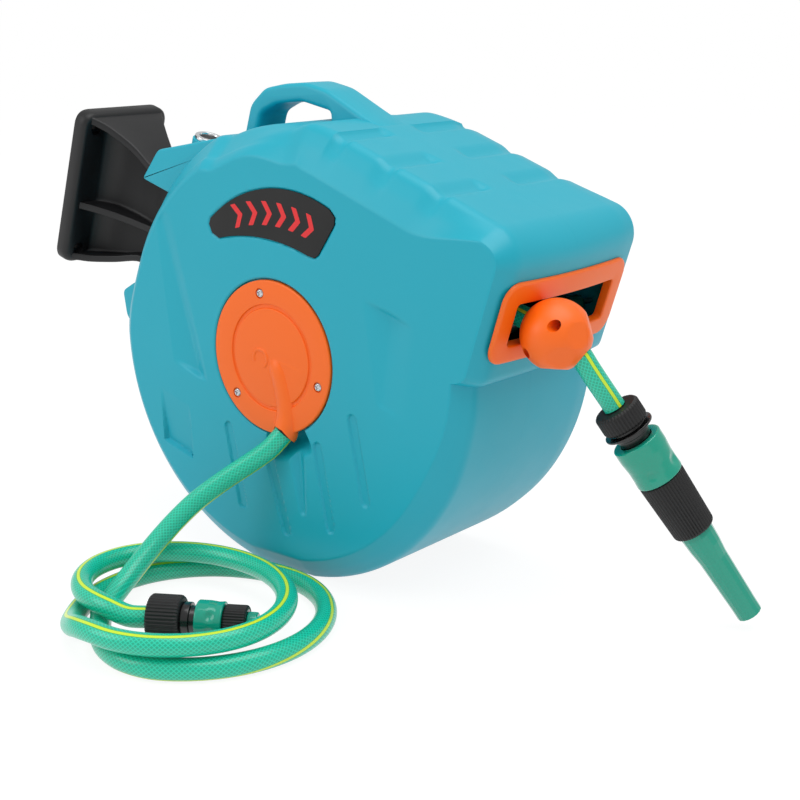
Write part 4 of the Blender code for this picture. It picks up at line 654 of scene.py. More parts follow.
def side_depth(x, z):
    """How deep the left side is pressed in at a place of the reel frame."""
    depth = (BADGE_DEPTH + FIT) * smooth(polygon_distance(x, z, badge_outline(0.0)), -1.3 * mm, 0.3 * mm)
    for a, b in SLOTS:
        away, _ = line_distance(x, z, a, b)
        outside = smooth(away, SLOT_HALF_WIDTH - 0.9 * mm, SLOT_HALF_WIDTH + 0.3 * mm)
        depth = np.maximum(depth, SLOT_DEPTH * (1 - outside))
    for form in WEDGES:
        depth = np.maximum(depth, wedge(x, z, *form))
    away = np.maximum(np.abs((x + 83 * mm) + (z + 100 * mm) * 0.35) / 17, np.abs(z + 100 * mm) / 21) / mm
    tilt = np.clip(0.5 - (z + 100 * mm) / (42 * mm), 0, 1)
    depth = np.maximum(depth, 4.2 * mm * tilt * (1 - smooth(away, 0.93, 1.02)))
    radius, angle = np.hypot(x, z), np.degrees(np.arctan2(z, x)) % 360
    offset = np.abs(angle - RELIEF_ANGLE)
    pocket = (1 - smooth(offset, 13, 20)) * (1 - smooth(radius, 64 * mm, 82 * mm))
    away, t = line_distance(x, z, (44, -62), (63, -104))
    valley = (1 - smooth(away, 0, (10 - 6 * t) * mm)) * (5 - 3 * t) * mm
    depth = np.maximum(depth, np.maximum(RELIEF_DEPTH * pocket, valley))
    return depth


print("badge seat", round(BADGE_DEPTH / mm, 1), "mm deep, slots", round(SLOT_DEPTH / mm, 1), "mm")

# %% [markdown]
# ## The case halves
#
# Each half is a closed grid: rows run from the middle seam over the shoulder and the side face to the
# round hole, then back inside one wall thickness deeper. A Solidify modifier would double the fine
# outer grid; offsetting only every few rows keeps the inside light. The mouth, pin bore and screw
# wells are then cut, and the lugs and handle joined, with Booleans, as their edges are crisp.

# %% Shoulder profile


def rounded(points, radius, steps=4, closed=True):
    """Round the corners of an outline; radius is one value or one for each corner."""
    count = len(points)
    radii = radius if isinstance(radius, (list, tuple)) else [radius] * count
    ring = []
    for i, here in enumerate(points):
        here = Vector(here)
        if not closed and i in (0, count - 1):
            ring.append(tuple(here))
            continue
        before, after = Vector(points[i - 1]) - here, Vector(points[(i + 1) % count]) - here
        cut = min(radii[i], 0.45 * before.length, 0.45 * after.length)
        if cut < 1e-7 or before.length < 1e-7 or after.length < 1e-7:
            ring.append(tuple(here))
            continue
        a, b = here + before.normalized() * cut, here + after.normalized() * cut
        for k in range(steps + 1):
            t = k / steps
            ring.append(tuple((1 - t) ** 2 * a + 2 * t * (1 - t) * here + t * t * b))
    return ring


SHOULDER_REACH = 25 * mm
FACE_ROWS, INNER_STEP = 92, 7
profile = rounded([(58 * mm, 0), (70 * mm, 0), (78.5 * mm, 0.47 * SHOULDER_REACH), (86 * mm, SHOULDER_REACH),
                   (86 * mm, 1.3 * SHOULDER_REACH)], [0, 6 * mm, 3 * mm, 1.6 * mm, 0], 6, closed=False)
dense = []
for a, b in zip(profile, profile[1:]):
    parts = max(int(math.hypot(b[0] - a[0], b[1] - a[1]) / (1.6 * mm)), 1)
    dense += [(a[0] + (b[0] - a[0]) * k / parts, (a[1] + (b[1] - a[1]) * k / parts) / SHOULDER_REACH)
              for k in range(parts)]
slump_at = lambda half: 0.4 * smooth(half, 54 * mm, 71 * mm) * (1 - smooth(half, 71 * mm, 86 * mm))
shoulder_rows = [(half, share, slump_at(half)) for half, share in dense if share <= 1.0]
print("shoulder:", len(shoulder_rows), "rows")

# %% Case grid


def case_grid(side):
    """Outer rows of one half, as an array of (row, column, xyz) in the reel frame."""
    x, z, inset, bow, channel, top, slump = columns.T
    inset = inset * (1.0 if side < 0 else FAR_SHARE)
    along = np.stack([np.roll(x, -1) - np.roll(x, 1), np.roll(z, -1) - np.roll(z, 1)])
    along /= np.linalg.norm(along, axis=0)
    inward = np.stack([-along[1], along[0]])
    even = sum(np.roll(inward, k, axis=1) * (11 - abs(k)) for k in range(-10, 11))
    even /= np.linalg.norm(even, axis=0)
    trough = sum(smooth(x, (at - 13) * mm, (at + 2) * mm) * (1 - smooth(x, (at + 3) * mm, (at + 9) * mm))
                 for at in TROUGHS)
    rows = []
    halves = np.r_[np.linspace(HALF_GAP, 14 * mm, 4), np.linspace(16 * mm, 48 * mm, 17), 49.4 * mm, 49.9 * mm,
                   50.7 * mm, 51.4 * mm, np.linspace(53 * mm, 57.5 * mm, 3)]
    flat_rows = [(half, 0.0, slump_at(half)) for half in halves]
    for half, share, droop in flat_rows + shoulder_rows:
        wide = 1 - smooth(half, CHANNEL_HALF_WIDTH - 0.4 * mm, CHANNEL_HALF_WIDTH + 1.2 * mm)
        pressed = TROUGH_DEPTH * trough * top * smooth(half, 15 * mm, 23 * mm)
        pressed = pressed * (1 - smooth(share, 0.1, 0.8) if side < 0 else 1)
        depth = CHANNEL_DEPTH * channel * wide + pressed
        sloped = (share + droop * slump) * inset
        forward = FRONT_BOW * bow * (1 - (half / HALF_WIDTH) ** 2)
        px = x + inward[0] * depth + even[0] * sloped + forward
        pz = z + inward[1] * depth + even[1] * sloped
        rows.append(np.stack([px, np.full_like(x, side * half), pz], axis=1))
    edge_x, edge_z = rows[-1][:, 0], rows[-1][:, 2]
    angle = np.arctan2(edge_z, edge_x)
    seat_x, seat_z = SEAT_RADIUS * np.cos(angle), SEAT_RADIUS * np.sin(angle)
    for k in range(1, FACE_ROWS + 1):
        share = k / FACE_ROWS
        px, pz = edge_x + (seat_x - edge_x) * share, edge_z + (seat_z - edge_z) * share
        depth = side_depth(px, pz) if side < 0 else 0.0 * px
        depth = depth * float(smooth(k, 0, 3))
        if k == FACE_ROWS:
            depth = np.maximum(depth, 0.6 * mm)
        rows.append(np.stack([px, side * (HALF_WIDTH - depth), pz], axis=1))
    lowered = RELIEF_DEPTH * (1 - smooth(np.abs(np.degrees(angle) % 360 - RELIEF_ANGLE), 13, 20))
    for radius, level in ((61.1, 84.6), (61.0, 82.6), (60.6, 81.7), (60.0, 81.5), (52, 81.5), (44.4, 81.5),
                          (44.1, 81.2), (44, 80.6)):
        height = np.full_like(angle, level * mm)
        if side < 0:
            height = np.minimum(height, HALF_WIDTH - lowered - (86 - level) * 0.05 * mm)
        px, pz = radius * mm * np.cos(angle), radius * mm * np.sin(angle)
        rows.append(np.stack([px, side * height, pz], axis=1))
    return np.array(rows)


def faced_out(mesh, weld=0.0):
    """Turn the faces of a closed mesh outwards, after welding its corners where asked."""
    work = bmesh.new()
    work.from_mesh(mesh)
    if weld:
        bmesh.ops.remove_doubles(work, verts=work.verts, dist=weld)
    bmesh.ops.recalc_face_normals(work, faces=work.faces)
    if work.calc_volume(signed=True) < 0:
        bmesh.ops.reverse_faces(work, faces=work.faces)
    work.to_mesh(mesh)
    work.free()
    return mesh


def case_shell(name, side):
    """A closed half of the case: the fine outside, and a lighter inside one wall deeper."""
    outer = case_grid(side)
    count = outer.shape[1]
    run = np.gradient(outer, axis=0)
    step = (np.roll(outer, -1, axis=1) - np.roll(outer, 1, axis=1)) / 2
    normal = np.cross(step, run) * -side
    normal /= np.maximum(np.linalg.norm(normal, axis=2, keepdims=True), 1e-12)
    normal[0, :, 1] = 0
    normal[0] /= np.linalg.norm(normal[0], axis=1, keepdims=True)
    picks = sorted({*range(0, outer.shape[0], INNER_STEP), outer.shape[0] - 1})
    inner = outer - normal * WALL
    if np.mean(np.sum(normal[0] * outer[0], axis=1)) < 0:
        inner = outer + normal * WALL
    grid = np.concatenate([outer, inner[picks][::-1]])
    rows = grid.shape[0]
    index = np.arange(rows * count).reshape(rows, count)
    faces = []
    for r in range(rows):
        low, high = index[r], index[(r + 1) % rows]
        quads = np.stack([low, np.roll(low, -1), np.roll(high, -1), high], axis=1)
        faces.append(quads if side < 0 else quads[:, ::-1])
    mesh = bpy.data.meshes.new(name)
    mesh.from_pydata(grid.reshape(-1, 3).tolist(), [], np.concatenate(faces).tolist())
    return faced_out(mesh)


# %% Cutters and joined forms


def closed_mesh(name, rings, capped=True):
    """Skin a stack of equal rings; the ends are closed by one face each."""
    count = len(rings[0])
    verts = [tuple(p) for ring in rings for p in ring]
    faces = []
    pairs = list(zip(range(len(rings)), range(1, len(rings))))
    if not capped:
        pairs.append((len(rings) - 1, 0))
    for low, high in pairs:
        for i in range(count):
            n = (i + 1) % count
            faces.append((low * count + i, low * count + n, high * count + n, high * count + i))
    if capped:
        faces.append(tuple(range(count))[::-1])
        faces.append(tuple((len(rings) - 1) * count + i for i in range(count)))
    mesh = bpy.data.meshes.new(name)
    mesh.from_pydata(verts, [], faces)
    return faced_out(mesh, 1e-7)


def inset_ring(ring, amount):
    """Move a closed 2D outline inwards."""
    points = [Vector(p) for p in ring]
    area = sum(a.x * b.y - b.x * a.y for a, b in zip(points, points[1:] + points[:1]))
    sign = 1 if area > 0 else -1
    moved = []
    for i, here in enumerate(points):
        along = (points[(i + 1) % len(points)] - points[i - 1])
        along = along.normalized() if along.length > 0 else Vector((1, 0))
        moved.append((here.x - sign * along.y * amount, here.y + sign * along.x * amount))
    return moved


def plate(name, ring, low_y, high_y, low_edge, high_edge):
    """A plate cut to an (x, z) outline; each face has its own edge radius, or 0 for a sharp one."""
    rings = []
    for edge, level, way in ((low_edge, low_y, 1), (high_edge, high_y, -1)):
        rounds = [(edge * (1 - math.sin(a)), level + way * edge * (1 - math.cos(a)))
                  for a in np.linspace(0, math.pi / 2, 5)] if edge else [(0.0, level)]
        rings += rounds if way > 0 else rounds[::-1]
    return closed_mesh(name, [[(x, y, z) for x, z in inset_ring(ring, i)] for i, y in rings])


def turned(name, profile, steps, matrix=None, ripple=None):
    """Turn a closed (radius, height) outline about the local Z axis; ripple changes a radius."""
    rings = []
    for k in range(steps):
        turn = 2 * math.pi * k / steps
        ring = []
        for r, h in profile:
            r = ripple(r, h, turn) if ripple and r > 0 else r
            ring.append((r * math.cos(turn), r * math.sin(turn), h))
        rings.append(ring)
    mesh = closed_mesh(name, rings, capped=False)
    if matrix is not None:
        mesh.transform(matrix)
    return mesh


def helper_object(mesh):
    obj = bpy.data.objects.new(mesh.name, mesh)
    bpy.context.scene.collection.objects.link(obj)
    return obj


def combined(mesh, changes, solver="MANIFOLD"):
    """Join or cut meshes in turn; changes are (mesh, operation) pairs."""
    target = helper_object(mesh)
    tools = []
    for other, operation in changes:
        tool = helper_object(other)
        tools.append(tool)
        step = target.modifiers.new(operation, "BOOLEAN")
        step.operation = operation
        step.object = tool
        step.solver = solver
    graph = bpy.context.evaluated_depsgraph_get()
    result = bpy.data.meshes.new_from_object(target.evaluated_get(graph))
    result.name = mesh.name
    for obj in [target, *tools]:
        bpy.data.objects.remove(obj, do_unlink=True)
    return result


def along_y(x, z, y=0.0):
    """Local Z turned to the reel's Y axis at a place."""
    return Matrix.Translation((x, y, z)) @ Matrix.Rotation(-math.pi / 2, 4, "X")


PIVOT_X, PIN_BOSS_TOP = -187 * mm, 99.7 * mm
PIVOT = Matrix.Translation((PIVOT_X, 0, 0))
upper_lug = [(-211, 60), (-199, 90), (-128, 127.5), (-126, 123), (-155.3, 60)]
lower_lug = [(-163, -30), (-199, -30), (-212, -44), (-202, -64), (-190, -70), (-165, -72), (-160, -70)]
HANDLE = [(-134, 116.1), (-134, 151), (-123, 168), (-103, 178.5), (-82, 186.5), (-60, 188.5), (-20, 182),
          (2, 179.6), (10, 166), (-24, 165), (-44, 160), (-49.5, 166), (-52, 174), (-83, 171), (-108, 160),
          (-121, 148), (-121, 126), (-116, 116), (-127, 110)]
scaled = lambda ring: [(x * mm, z * mm) for x, z in ring]
cylinder = lambda r, low, high: [(0, low), (r, low), (r, high), (0, high)]


def on_circle(radius, degrees):
    """A place on a circle about the axle, in the reel's side view."""
    return radius * math.cos(math.radians(degrees)), radius * math.sin(math.radians(degrees))


boss_places = [on_circle(165 * mm, a) for a in (96, 215, 250, 310, 350)] + [(135 * mm, 143.2 * mm)]


def case_half(name, side):
    """One half of the case with its lugs, handle and boss, cut for the pin, mouth and screws."""
    changes = []
    forms = [(f"lug_{i}", ring, 4 * mm, 46 * mm, 2.5 * mm) for i, ring in enumerate((upper_lug, lower_lug))]
    forms.append(("handle", HANDLE, 5 * mm, 17.5 * mm, 4 * mm))
    for form, ring, corner, reach, edge in forms:
        ends = [(-0.5 * mm, 0.0), (reach, edge)] if side > 0 else [(-reach, edge), (0.5 * mm, 0.0)]
        (low, low_edge), (high, high_edge) = ends
        solid = plate(form, rounded(scaled(ring), corner), low, high, low_edge, high_edge)
        changes.append((solid, "UNION"))
    boss = turned("pin_boss", rounded(cylinder(13.5 * mm, 72 * mm, PIN_BOSS_TOP), 0.5 * mm, 2), 40, PIVOT)
    changes.append((boss, "UNION"))
    bore = turned("pin_bore", cylinder(5.6 * mm, -86 * mm, 120 * mm), 32, PIVOT)
    room = turned("pin_room", cylinder(14.2 * mm, PIN_BOSS_TOP, 120 * mm), 40, PIVOT)
    changes += [(room, "DIFFERENCE"), (bore, "DIFFERENCE")]
    mouth = [(y, z) for y, z in ((-64, 88.6), (64, 88.6), (64, 125.4), (-64, 125.4))]
    changes.append((closed_mesh("mouth", [[(x * mm, y * mm, z * mm) for y, z in mouth] for x in (160, 197)]),
                    "DIFFERENCE"))
    if side > 0:
        for i, (x, z) in enumerate(boss_places):
            well = scaled([(0, 8), (2.2, 8), (2.2, 12.7), (4.1, 12.7), (4.1, 110), (0, 110)])
            changes.append((turned(f"well_{i}", well, 20, along_y(x, z)), "DIFFERENCE"))
    low = -0.3 if side < 0 else HALF_GAP
    high = -HALF_GAP if side < 0 else 0.3
    keep = closed_mesh("keep", [[(x, y, z) for x, z in ((-0.4, -0.4), (0.4, -0.4), (0.4, 0.4), (-0.4, 0.4))]
                                for y in (low, high)])
    changes.append((keep, "INTERSECT"))
    mesh = combined(case_shell(name, side), changes)
    mesh.transform(REEL)
    return mesh


for hand, side in (("left", -1), ("right", 1)):
    name = f"case_{hand}_moulding"
    mesh = case_half(name, side)
    finish_piece(name, mesh, TEAL, "case", (f"{hand}_housing",), 30)
    print(name, len(mesh.polygons), "faces")

# %% [markdown]
# ## Covers, badge and their screws
#
# Round covers close the seats in both sides; the left one swells into a spout over the hose. The badge
# is a thin plate let into the side, with plain red chevrons that point to the mouth. They are turned
# and extruded forms with small edge radii, since a knife edge never catches light as a moulding does.

# %% Swept forms
SCREW_SHANK = 1.9 * mm


def swept(name, points, radii, sides=24):
    """A round bar along a line, with its own radius at each point."""
    count = len(points)
    ways = [(points[min(i + 1, count - 1)] - points[max(i - 1, 0)]).normalized() for i in range(count)]
    across = ways[0].orthogonal().normalized()
    rings = []
    for place, way, radius in zip(points, ways, radii):
        across = (across - way * across.dot(way)).normalized()
        other = way.cross(across)
        rings.append([place + radius * (across * math.cos(t) + other * math.sin(t))
                      for t in np.linspace(0, 2 * math.pi, sides, endpoint=False)])
    return closed_mesh(name, rings)


def cutter_box(name, low, high):
    return closed_mesh(name, [[(x, y, z) for x, z in ((low[0], low[2]), (high[0], low[2]), (high[0], high[2]),
                                                      (low[0], high[2]))] for y in (low[1], high[1])])


def screw(name, node, place, head_radius, head_height, low):
    """A screw along local Z with a domed head and a cross recess; low is the foot of its shank."""
    outline = [(0, low), (SCREW_SHANK, low), (SCREW_SHANK, 0), (head_radius, 0),
               (head_radius, 0.5 * head_height), (0.72 * head_radius, head_height), (0, head_height)]
    body_mesh = turned(name, rounded(outline, 0.3 * mm, 3, closed=False), 28)
    reach, slim = 0.62 * head_radius, 0.15 * head_radius
    cuts = [(cutter_box("slot", (-a, -b, 0.35 * head_height), (a, b, 2 * head_height)), "DIFFERENCE")
            for a, b in ((reach, slim), (slim, reach))]
    mesh = combined(body_mesh, cuts)
    mesh.transform(place)
    return finish_piece(name, mesh, ZINC, "case", (node,), 25)


# %% Covers
COVER_LOW, COVER_HIGH, SCREW_SEAT = 81.8 * mm, 86.8 * mm, 85.4
spout_end = reel_place(inlet_places[0])
spout_way = reel_way(inlet_places[1] - inlet_places[0])
duct = [Vector(p) * mm for p in ((0, -68, 0), (1, -74.4, -1.5), (7, -78.3, -6.5), (14, -78.9, -15.5),
                                 (22.4, -79.2, -30.1), (26.4, -80.5, -41.2))]
duct_line = squared_route(duct + [spout_end - FIT * spout_way], 4 * mm, duct[1] - duct[0], spout_way, 3 * mm)
disc = [(0, COVER_LOW), (60 * mm, COVER_LOW), (60 * mm, COVER_HIGH), (41.8 * mm, COVER_HIGH),
        (41.3 * mm, COVER_HIGH - 1.5 * mm), (38.7 * mm, COVER_HIGH - 1.5 * mm), (38.2 * mm, COVER_HIGH)]
disc_rounds = [0, 0.4 * mm, 1.5 * mm, 0.6 * mm, 0.5 * mm, 0.5 * mm, 0.6 * mm]
screw_places = {side: [on_circle(50 * mm, a + turn) for a in (-1, 119, 239)]
                for side, turn in ((-1, 0), (1, 60))}
for kind, side, ends in (("inlet", -1, [(0, COVER_HIGH)]),
                         ("spring", 1, [(12 * mm, COVER_HIGH), (10 * mm, 93.5 * mm), (0, 93.5 * mm)])):
    outline = rounded(disc + ends, disc_rounds + [0.8 * mm] * len(ends), 4, closed=False)
    mesh = turned(f"{kind}_cover_plate", [(r, side * h) for r, h in outline], 96, along_y(0, 0))
    changes = []
    if side < 0:
        tail = [duct_line[k] for k in range(3, len(duct_line) - 1)] + [duct_line[-1] - 1.2 * mm * spout_way]
        arch = refined(tail, 3)
        changes.append((swept("arch", arch, [10.8 * mm] * len(arch), 36), "UNION"))
        level = -COVER_HIGH + 1.1 * mm
        horseshoe = [Vector((-10 * mm + 7 * mm * math.cos(t), level, -5 * mm + 7 * mm * math.sin(t)))
                     for t in np.linspace(math.radians(-40), math.radians(220), 24)]
        changes.append((swept("horseshoe", horseshoe, [1.9 * mm] * len(horseshoe), 16), "UNION"))
        shave = cutter_box("shave", (-0.1, -COVER_LOW, -0.1), (0.1, -COVER_LOW + 0.04, 0.1))
        changes.append((shave, "DIFFERENCE"))
        throat = refined(duct_line + [duct_line[-1] + 12 * mm * spout_way], 3)
        changes.append((swept("throat", throat, [8.8 * mm] * len(throat), 32), "DIFFERENCE"))
    for i, (x, z) in enumerate(screw_places[side]):
        step = [(0, 70), (2.3, 70), (2.3, SCREW_SEAT), (4.1, SCREW_SEAT), (4.1, 95), (0, 95)]
        hole = turned(f"hole_{i}", [(r * mm, side * h * mm) for r, h in step], 24, along_y(x, z))
        changes.append((hole, "DIFFERENCE"))
    mesh = combined(mesh, changes)
    mesh.transform(REEL)
    finish_piece(f"{kind}_cover_plate", mesh, ORANGE, "case", (f"{kind}_cover",), 28)
    facing = Matrix.Rotation(math.pi / 2 if side < 0 else -math.pi / 2, 4, "X")
    for i, (x, z) in enumerate(screw_places[side]):
        place = REEL @ Matrix.Translation((x, side * (SCREW_SEAT * mm + 0.05 * mm), z)) @ facing
        screw(f"{kind}_screw_{i + 1}", f"{kind}_cover_screw_{i + 1}", place, 3.3 * mm, 1.7 * mm, -7.5 * mm)
print("covers: spout", round(sum((b - a).length for a, b in zip(duct_line, duct_line[1:])) / mm), "mm long")

# %% Case screws
for i, (x, z) in enumerate(boss_places):
    place = REEL @ Matrix.Translation((x, 13 * mm, z)) @ Matrix.Rotation(-math.pi / 2, 4, "X")
    screw(f"case_screw_fine_{i + 1}", f"case_screw_{i + 1}", place, 3.8 * mm, 1.6 * mm, -26 * mm)
print("case screws:", len(boss_places))

# %% Badge
BADGE_BLACK = plastic("printed_black_film", "#040405", 0.6, 0.4 * mm, 0.005 * mm)
PRINT_RED = plastic("red_printing_ink", "#E5262B", 0.5, 0.4 * mm, 0.005 * mm)
badge_mesh = plate("badge_plate", badge_outline(0.3), -HALF_WIDTH, -HALF_WIDTH + BADGE_DEPTH, 0.35 * mm, 0.0)


def badge_middle(x):
    outer = BADGE_OUTER[1] + math.sqrt(BADGE_OUTER[2] ** 2 - (x - BADGE_OUTER[0]) ** 2)
    inner = BADGE_INNER[1] + math.sqrt(BADGE_INNER[2] ** 2 - (x - BADGE_INNER[0]) ** 2)
    return (outer + inner) / 2


work = bmesh.new()
work.from_mesh(badge_mesh)
plain_faces = len(work.faces)
chevron = [(-5.5, -9), (-0.5, -9), (5.5, 0), (-0.5, 9), (-5.5, 9), (0.5, 0)]
for x in range(-62, 9, 14):
    slope = math.atan2(badge_middle(x + 2) - badge_middle(x - 2), 4)
    ring = [((x + u * math.cos(slope) - v * math.sin(slope)) * mm,
             (badge_middle(x) + u * math.sin(slope) + v * math.cos(slope)) * mm) for u, v in chevron]
    levels = [[work.verts.new((px, y, pz)) for px, pz in rounded(ring, 0.8 * mm, 3)]
              for y in (-HALF_WIDTH - 0.12 * mm, -HALF_WIDTH + 0.2 * mm)]
    faces = [work.faces.new(levels[0]), work.faces.new(levels[1][::-1])]
    for k in range(len(levels[0])):
        n = (k + 1) % len(levels[0])
        faces.append(work.faces.new((levels[0][n], levels[0][k], levels[1][k], levels[1][n])))
bmesh.ops.recalc_face_normals(work, faces=work.faces)
work.to_mesh(badge_mesh)
work.free()
badge_mesh.transform(REEL)
finish_piece("badge_plate", badge_mesh, BADGE_BLACK, "case", ("badge",), 30)
badge_mesh.materials.append(PRINT_RED)
for face in badge_mesh.polygons[plain_faces:]:
    face.material_index = 1
print("badge:", len(badge_mesh.polygons) - plain_faces, "printed faces")

# %% [markdown]
# ## Mouth: bezel and guide rollers
#
# The bezel is a rounded frame that follows the bowed front, with a lip into the mouth. Behind it two
# smooth rollers on steel pins guide the hose. The frame is a loop of rounded rectangles skinned in
# turn, which gives it an even edge radius all the way round; a bevel would fight with its corners.

# %% Bezel


def bowed_ring(half_width, low, high, corner, x):
    points = [(half_width, high), (-half_width, high), (-half_width, low), (half_width, low)]
    ring = []
    for (ay, az), (by, bz) in zip(points, points[1:] + points[:1]):
        parts = 14 if abs(by - ay) > abs(bz - az) else 5
        way = Vector((by - ay, bz - az))
        start = Vector((ay, az)) + way.normalized() * corner
        finish = Vector((by, bz)) - way.normalized() * corner
        ring += [start.lerp(finish, k / parts) for k in range(parts + 1)]
        centre = finish + Vector((-way.y, way.x)).normalized() * corner
        first = math.atan2(finish.y - centre.y, finish.x - centre.x)
        ring += [centre + corner * Vector((math.cos(first + t), math.sin(first + t)))
                 for t in np.linspace(0, math.pi / 2, 8)[1:-1]]
    return [(x + FRONT_BOW * (1 - (p.x / HALF_WIDTH) ** 2), p.x, p.y) for p in ring]


back, front = FRONT_X + FIT, FRONT_X + FIT + 2.7 * mm
rim = (78, 77.4, 139.2, 14)
mouth = (62, 91, 123, 3)
frame_rings = []
for grow, x in ((0.0, back), (0.0, front - 1.3 * mm), (-0.35, front - 0.5 * mm), (-1.1, front),
                (-2.4, front + 0.1 * mm)):
    frame_rings.append(bowed_ring((rim[0] + grow) * mm, (rim[1] - grow) * mm, (rim[2] + grow) * mm,
                                  max(rim[3] + grow, 2) * mm, x))
for grow, x in ((1.6, front + 0.1 * mm), (0.7, front - 0.1 * mm), (0.15, front - 0.6 * mm),
                (0.0, front - 1.4 * mm), (0.0, back - 4.2 * mm), (1.7, back - 4.2 * mm), (1.7, back)):
    frame_rings.append(bowed_ring((mouth[0] + grow) * mm, (mouth[1] - grow) * mm, (mouth[2] + grow) * mm,
                                  (mouth[3] + grow) * mm, x))
bezel_mesh = closed_mesh("mouth_frame", frame_rings, capped=False)
bezel_mesh.transform(REEL)
finish_piece("mouth_frame", bezel_mesh, ORANGE, "case", ("mouth_bezel",), 40)
# The roller sleeves are dark green, and this dark colour also paints the shade inside the mouth.
for name, z in (("upper", 122.3), ("lower", 91.7)):
    place = REEL @ along_y(158 * mm, z * mm)
    sleeve = rounded(scaled([(2.8, -65), (7, -65), (7, 65), (2.8, 65)]), 0.8 * mm, 3)
    finish_piece(f"{name}_roller_sleeve", turned(f"{name}_roller_sleeve", sleeve, 32, place), DARK_GREEN_AND_SHADE,
                 f"{name}_roller", (f"{name}_roller",), 30)
    axle = rounded(scaled([(0, -82.5), (2.5, -82.5), (2.5, 82.5), (0, 82.5)]), 0.5 * mm, 3, closed=False)
    finish_piece(f"{name}_roller_axle", turned(f"{name}_roller_axle", axle, 20, place), STEEL, "case",
                 (f"{name}_roller_pin",), 30)
print("bezel", len(bezel_mesh.polygons), "faces")

# %% [markdown]
# ## Wall bracket and pin
#
# A thick plate with rounded edges, from which an arm with three flanges narrows to the barrel on the
# hinge pin. The arm is skinned through a row of E-shaped outlines, so its webs flare smoothly into the
# plate; Booleans of straight ribs would leave it without these curves.

# %% Bracket
arm_stations = [np.array(v, float) for v in ((-187, 10.5, 10.2, -29.2, 59.2), (-201, 11, 10, -29.2, 59),
                (-215, 12.5, 8.5, -29.2, 58.7), (-232, 16, 6, -29.7, 59.7), (-253, 22, 6, -38.7, 71.5),
                (-273, 31, 9.5, -45.7, 80.5), (-283, 37, 16, -47.6, 83.9), (-289.6, 41.8, 26, -48.7, 85.5))]
arm_rings = []
for x, half, web, low, high in refined(arm_stations, 4):
    flange, middle = 6.5, 4.0
    side_line = [(half, low), (half, low + flange), (web, low + flange), (web, middle - 3),
                 (half, middle - 3), (half, middle + 3), (web, middle + 3), (web, high - flange),
                 (half, high - flange), (half, high)]
    ring = side_line + [(-y, z) for y, z in side_line[::-1]]
    turns = [2.0, 1.5, 3.0, 3.0, 1.2, 1.2, 3.0, 3.0, 1.5, 2.0]
    radii = [t * mm for t in turns + turns[::-1]]
    arm_rings.append([(x * mm, y, z) for y, z in rounded(scaled(ring), radii, 3)])
arm = closed_mesh("arm", arm_rings)


def plate_outline(inset):
    """The wall plate's outline, moved in by an inset."""
    half, low, high = 47.8 * mm - inset, -51.7 * mm + inset, 88.5 * mm - inset
    return rounded([(half, high), (-half, high), (-half, low), (half, low)], max(13 * mm - inset, 4 * mm), 8)


plate_rings = []
for inset, x in ((9, -301.6), (1.5, -301.6), (0.5, -301.1), (0, -300.1), (0, -293), (0.5, -290.6),
                 (1.7, -288.7), (3.4, -287.8), (5, -287.6)):
    plate_rings.append([(x * mm, y, z) for y, z in plate_outline(inset * mm)])
barrel = turned("barrel", rounded(cylinder(11 * mm, -29.7 * mm, 59.7 * mm), 0.8 * mm, 3), 48, PIVOT)
changes = [(arm, "UNION"), (barrel, "UNION")]
for y in (-33.8, 33.8):
    for z in (-37.7, 74.5):
        step = scaled([(0, -16), (2.75, -16), (2.75, -5), (5.5, -5), (5.5, 3), (0, 3)])
        place = Matrix.Translation((-287.6 * mm, y * mm, z * mm)) @ Matrix.Rotation(math.pi / 2, 4, "Y")
        changes.append((turned("screw_hole", step, 24, place), "DIFFERENCE"))
changes.append((turned("pin_way", cylinder(5.6 * mm, -40 * mm, 70 * mm), 32, PIVOT), "DIFFERENCE"))
bracket_mesh = combined(closed_mesh("bracket_moulding", plate_rings), changes)
bracket_mesh.transform(REEL)
finish_piece("bracket_moulding", bracket_mesh, BLACK, "bracket", ("wall_bracket",), 40)
pin_outline = scaled([(0, -66), (4, -66), (5, -65), (5, 100), (12, 100), (12, 102.6), (11, 103), (8.6, 103),
                      (8.2, 101.4), (0, 101.4)])
pin_mesh = turned("hinge_pin", rounded(pin_outline, 0.4 * mm, 3, closed=False), 48, REEL @ PIVOT)
finish_piece("hinge_pin", pin_mesh, CHROME, "pin", ("pivot_pin",), 30)
face_places = [REEL.inverted() @ face.center for face in pin_mesh.polygons]
cap_places = [i for i, place in enumerate(face_places)
              if place.z > 101.2 * mm and math.hypot(place.x - PIVOT_X, place.y) < 8.1 * mm]
pin_mesh.materials.append(BLACK)
for index in cap_places:
    pin_mesh.polygons[index].material_index = 1
print("bracket", len(bracket_mesh.polygons), "faces; pin cap", len(cap_places))

# %% [markdown]
# ## Stop ball
#
# Two orange halves clamp the hose. The ball carries flats round the hose's way out, which come from
# limiting the sphere's radius by planes rather than from cuts, so no sliver faces are left.

# %% Ball halves
BALL_RADIUS = 25.5 * mm
hose_way = (outlet_places[5] - outlet_places[4]).normalized()
aside = hose_way.orthogonal().normalized()
flats = []
for k in range(6):
    t = 2 * math.pi * (k + 0.3) / 6
    around = aside * math.cos(t) + hose_way.cross(aside) * math.sin(t)
    flats.append((hose_way * math.cos(0.95) + around * math.sin(0.95)).normalized())
work = bmesh.new()
bmesh.ops.create_uvsphere(work, u_segments=72, v_segments=48, radius=1.0)
for vert in work.verts:
    way = vert.co.normalized()
    reach = min([BALL_RADIUS] + [23.7 * mm / way.dot(n) for n in flats if way.dot(n) > 0.5])
    vert.co = way * reach
ball_mesh = bpy.data.meshes.new("ball")
work.to_mesh(ball_mesh)
work.free()
ball_screws = ((10.5 * mm, 10.9 * mm), (-12 * mm, -11.5 * mm))
bore_line = [p - BALL_CENTRE for p in refined(outlet_run, 2)]
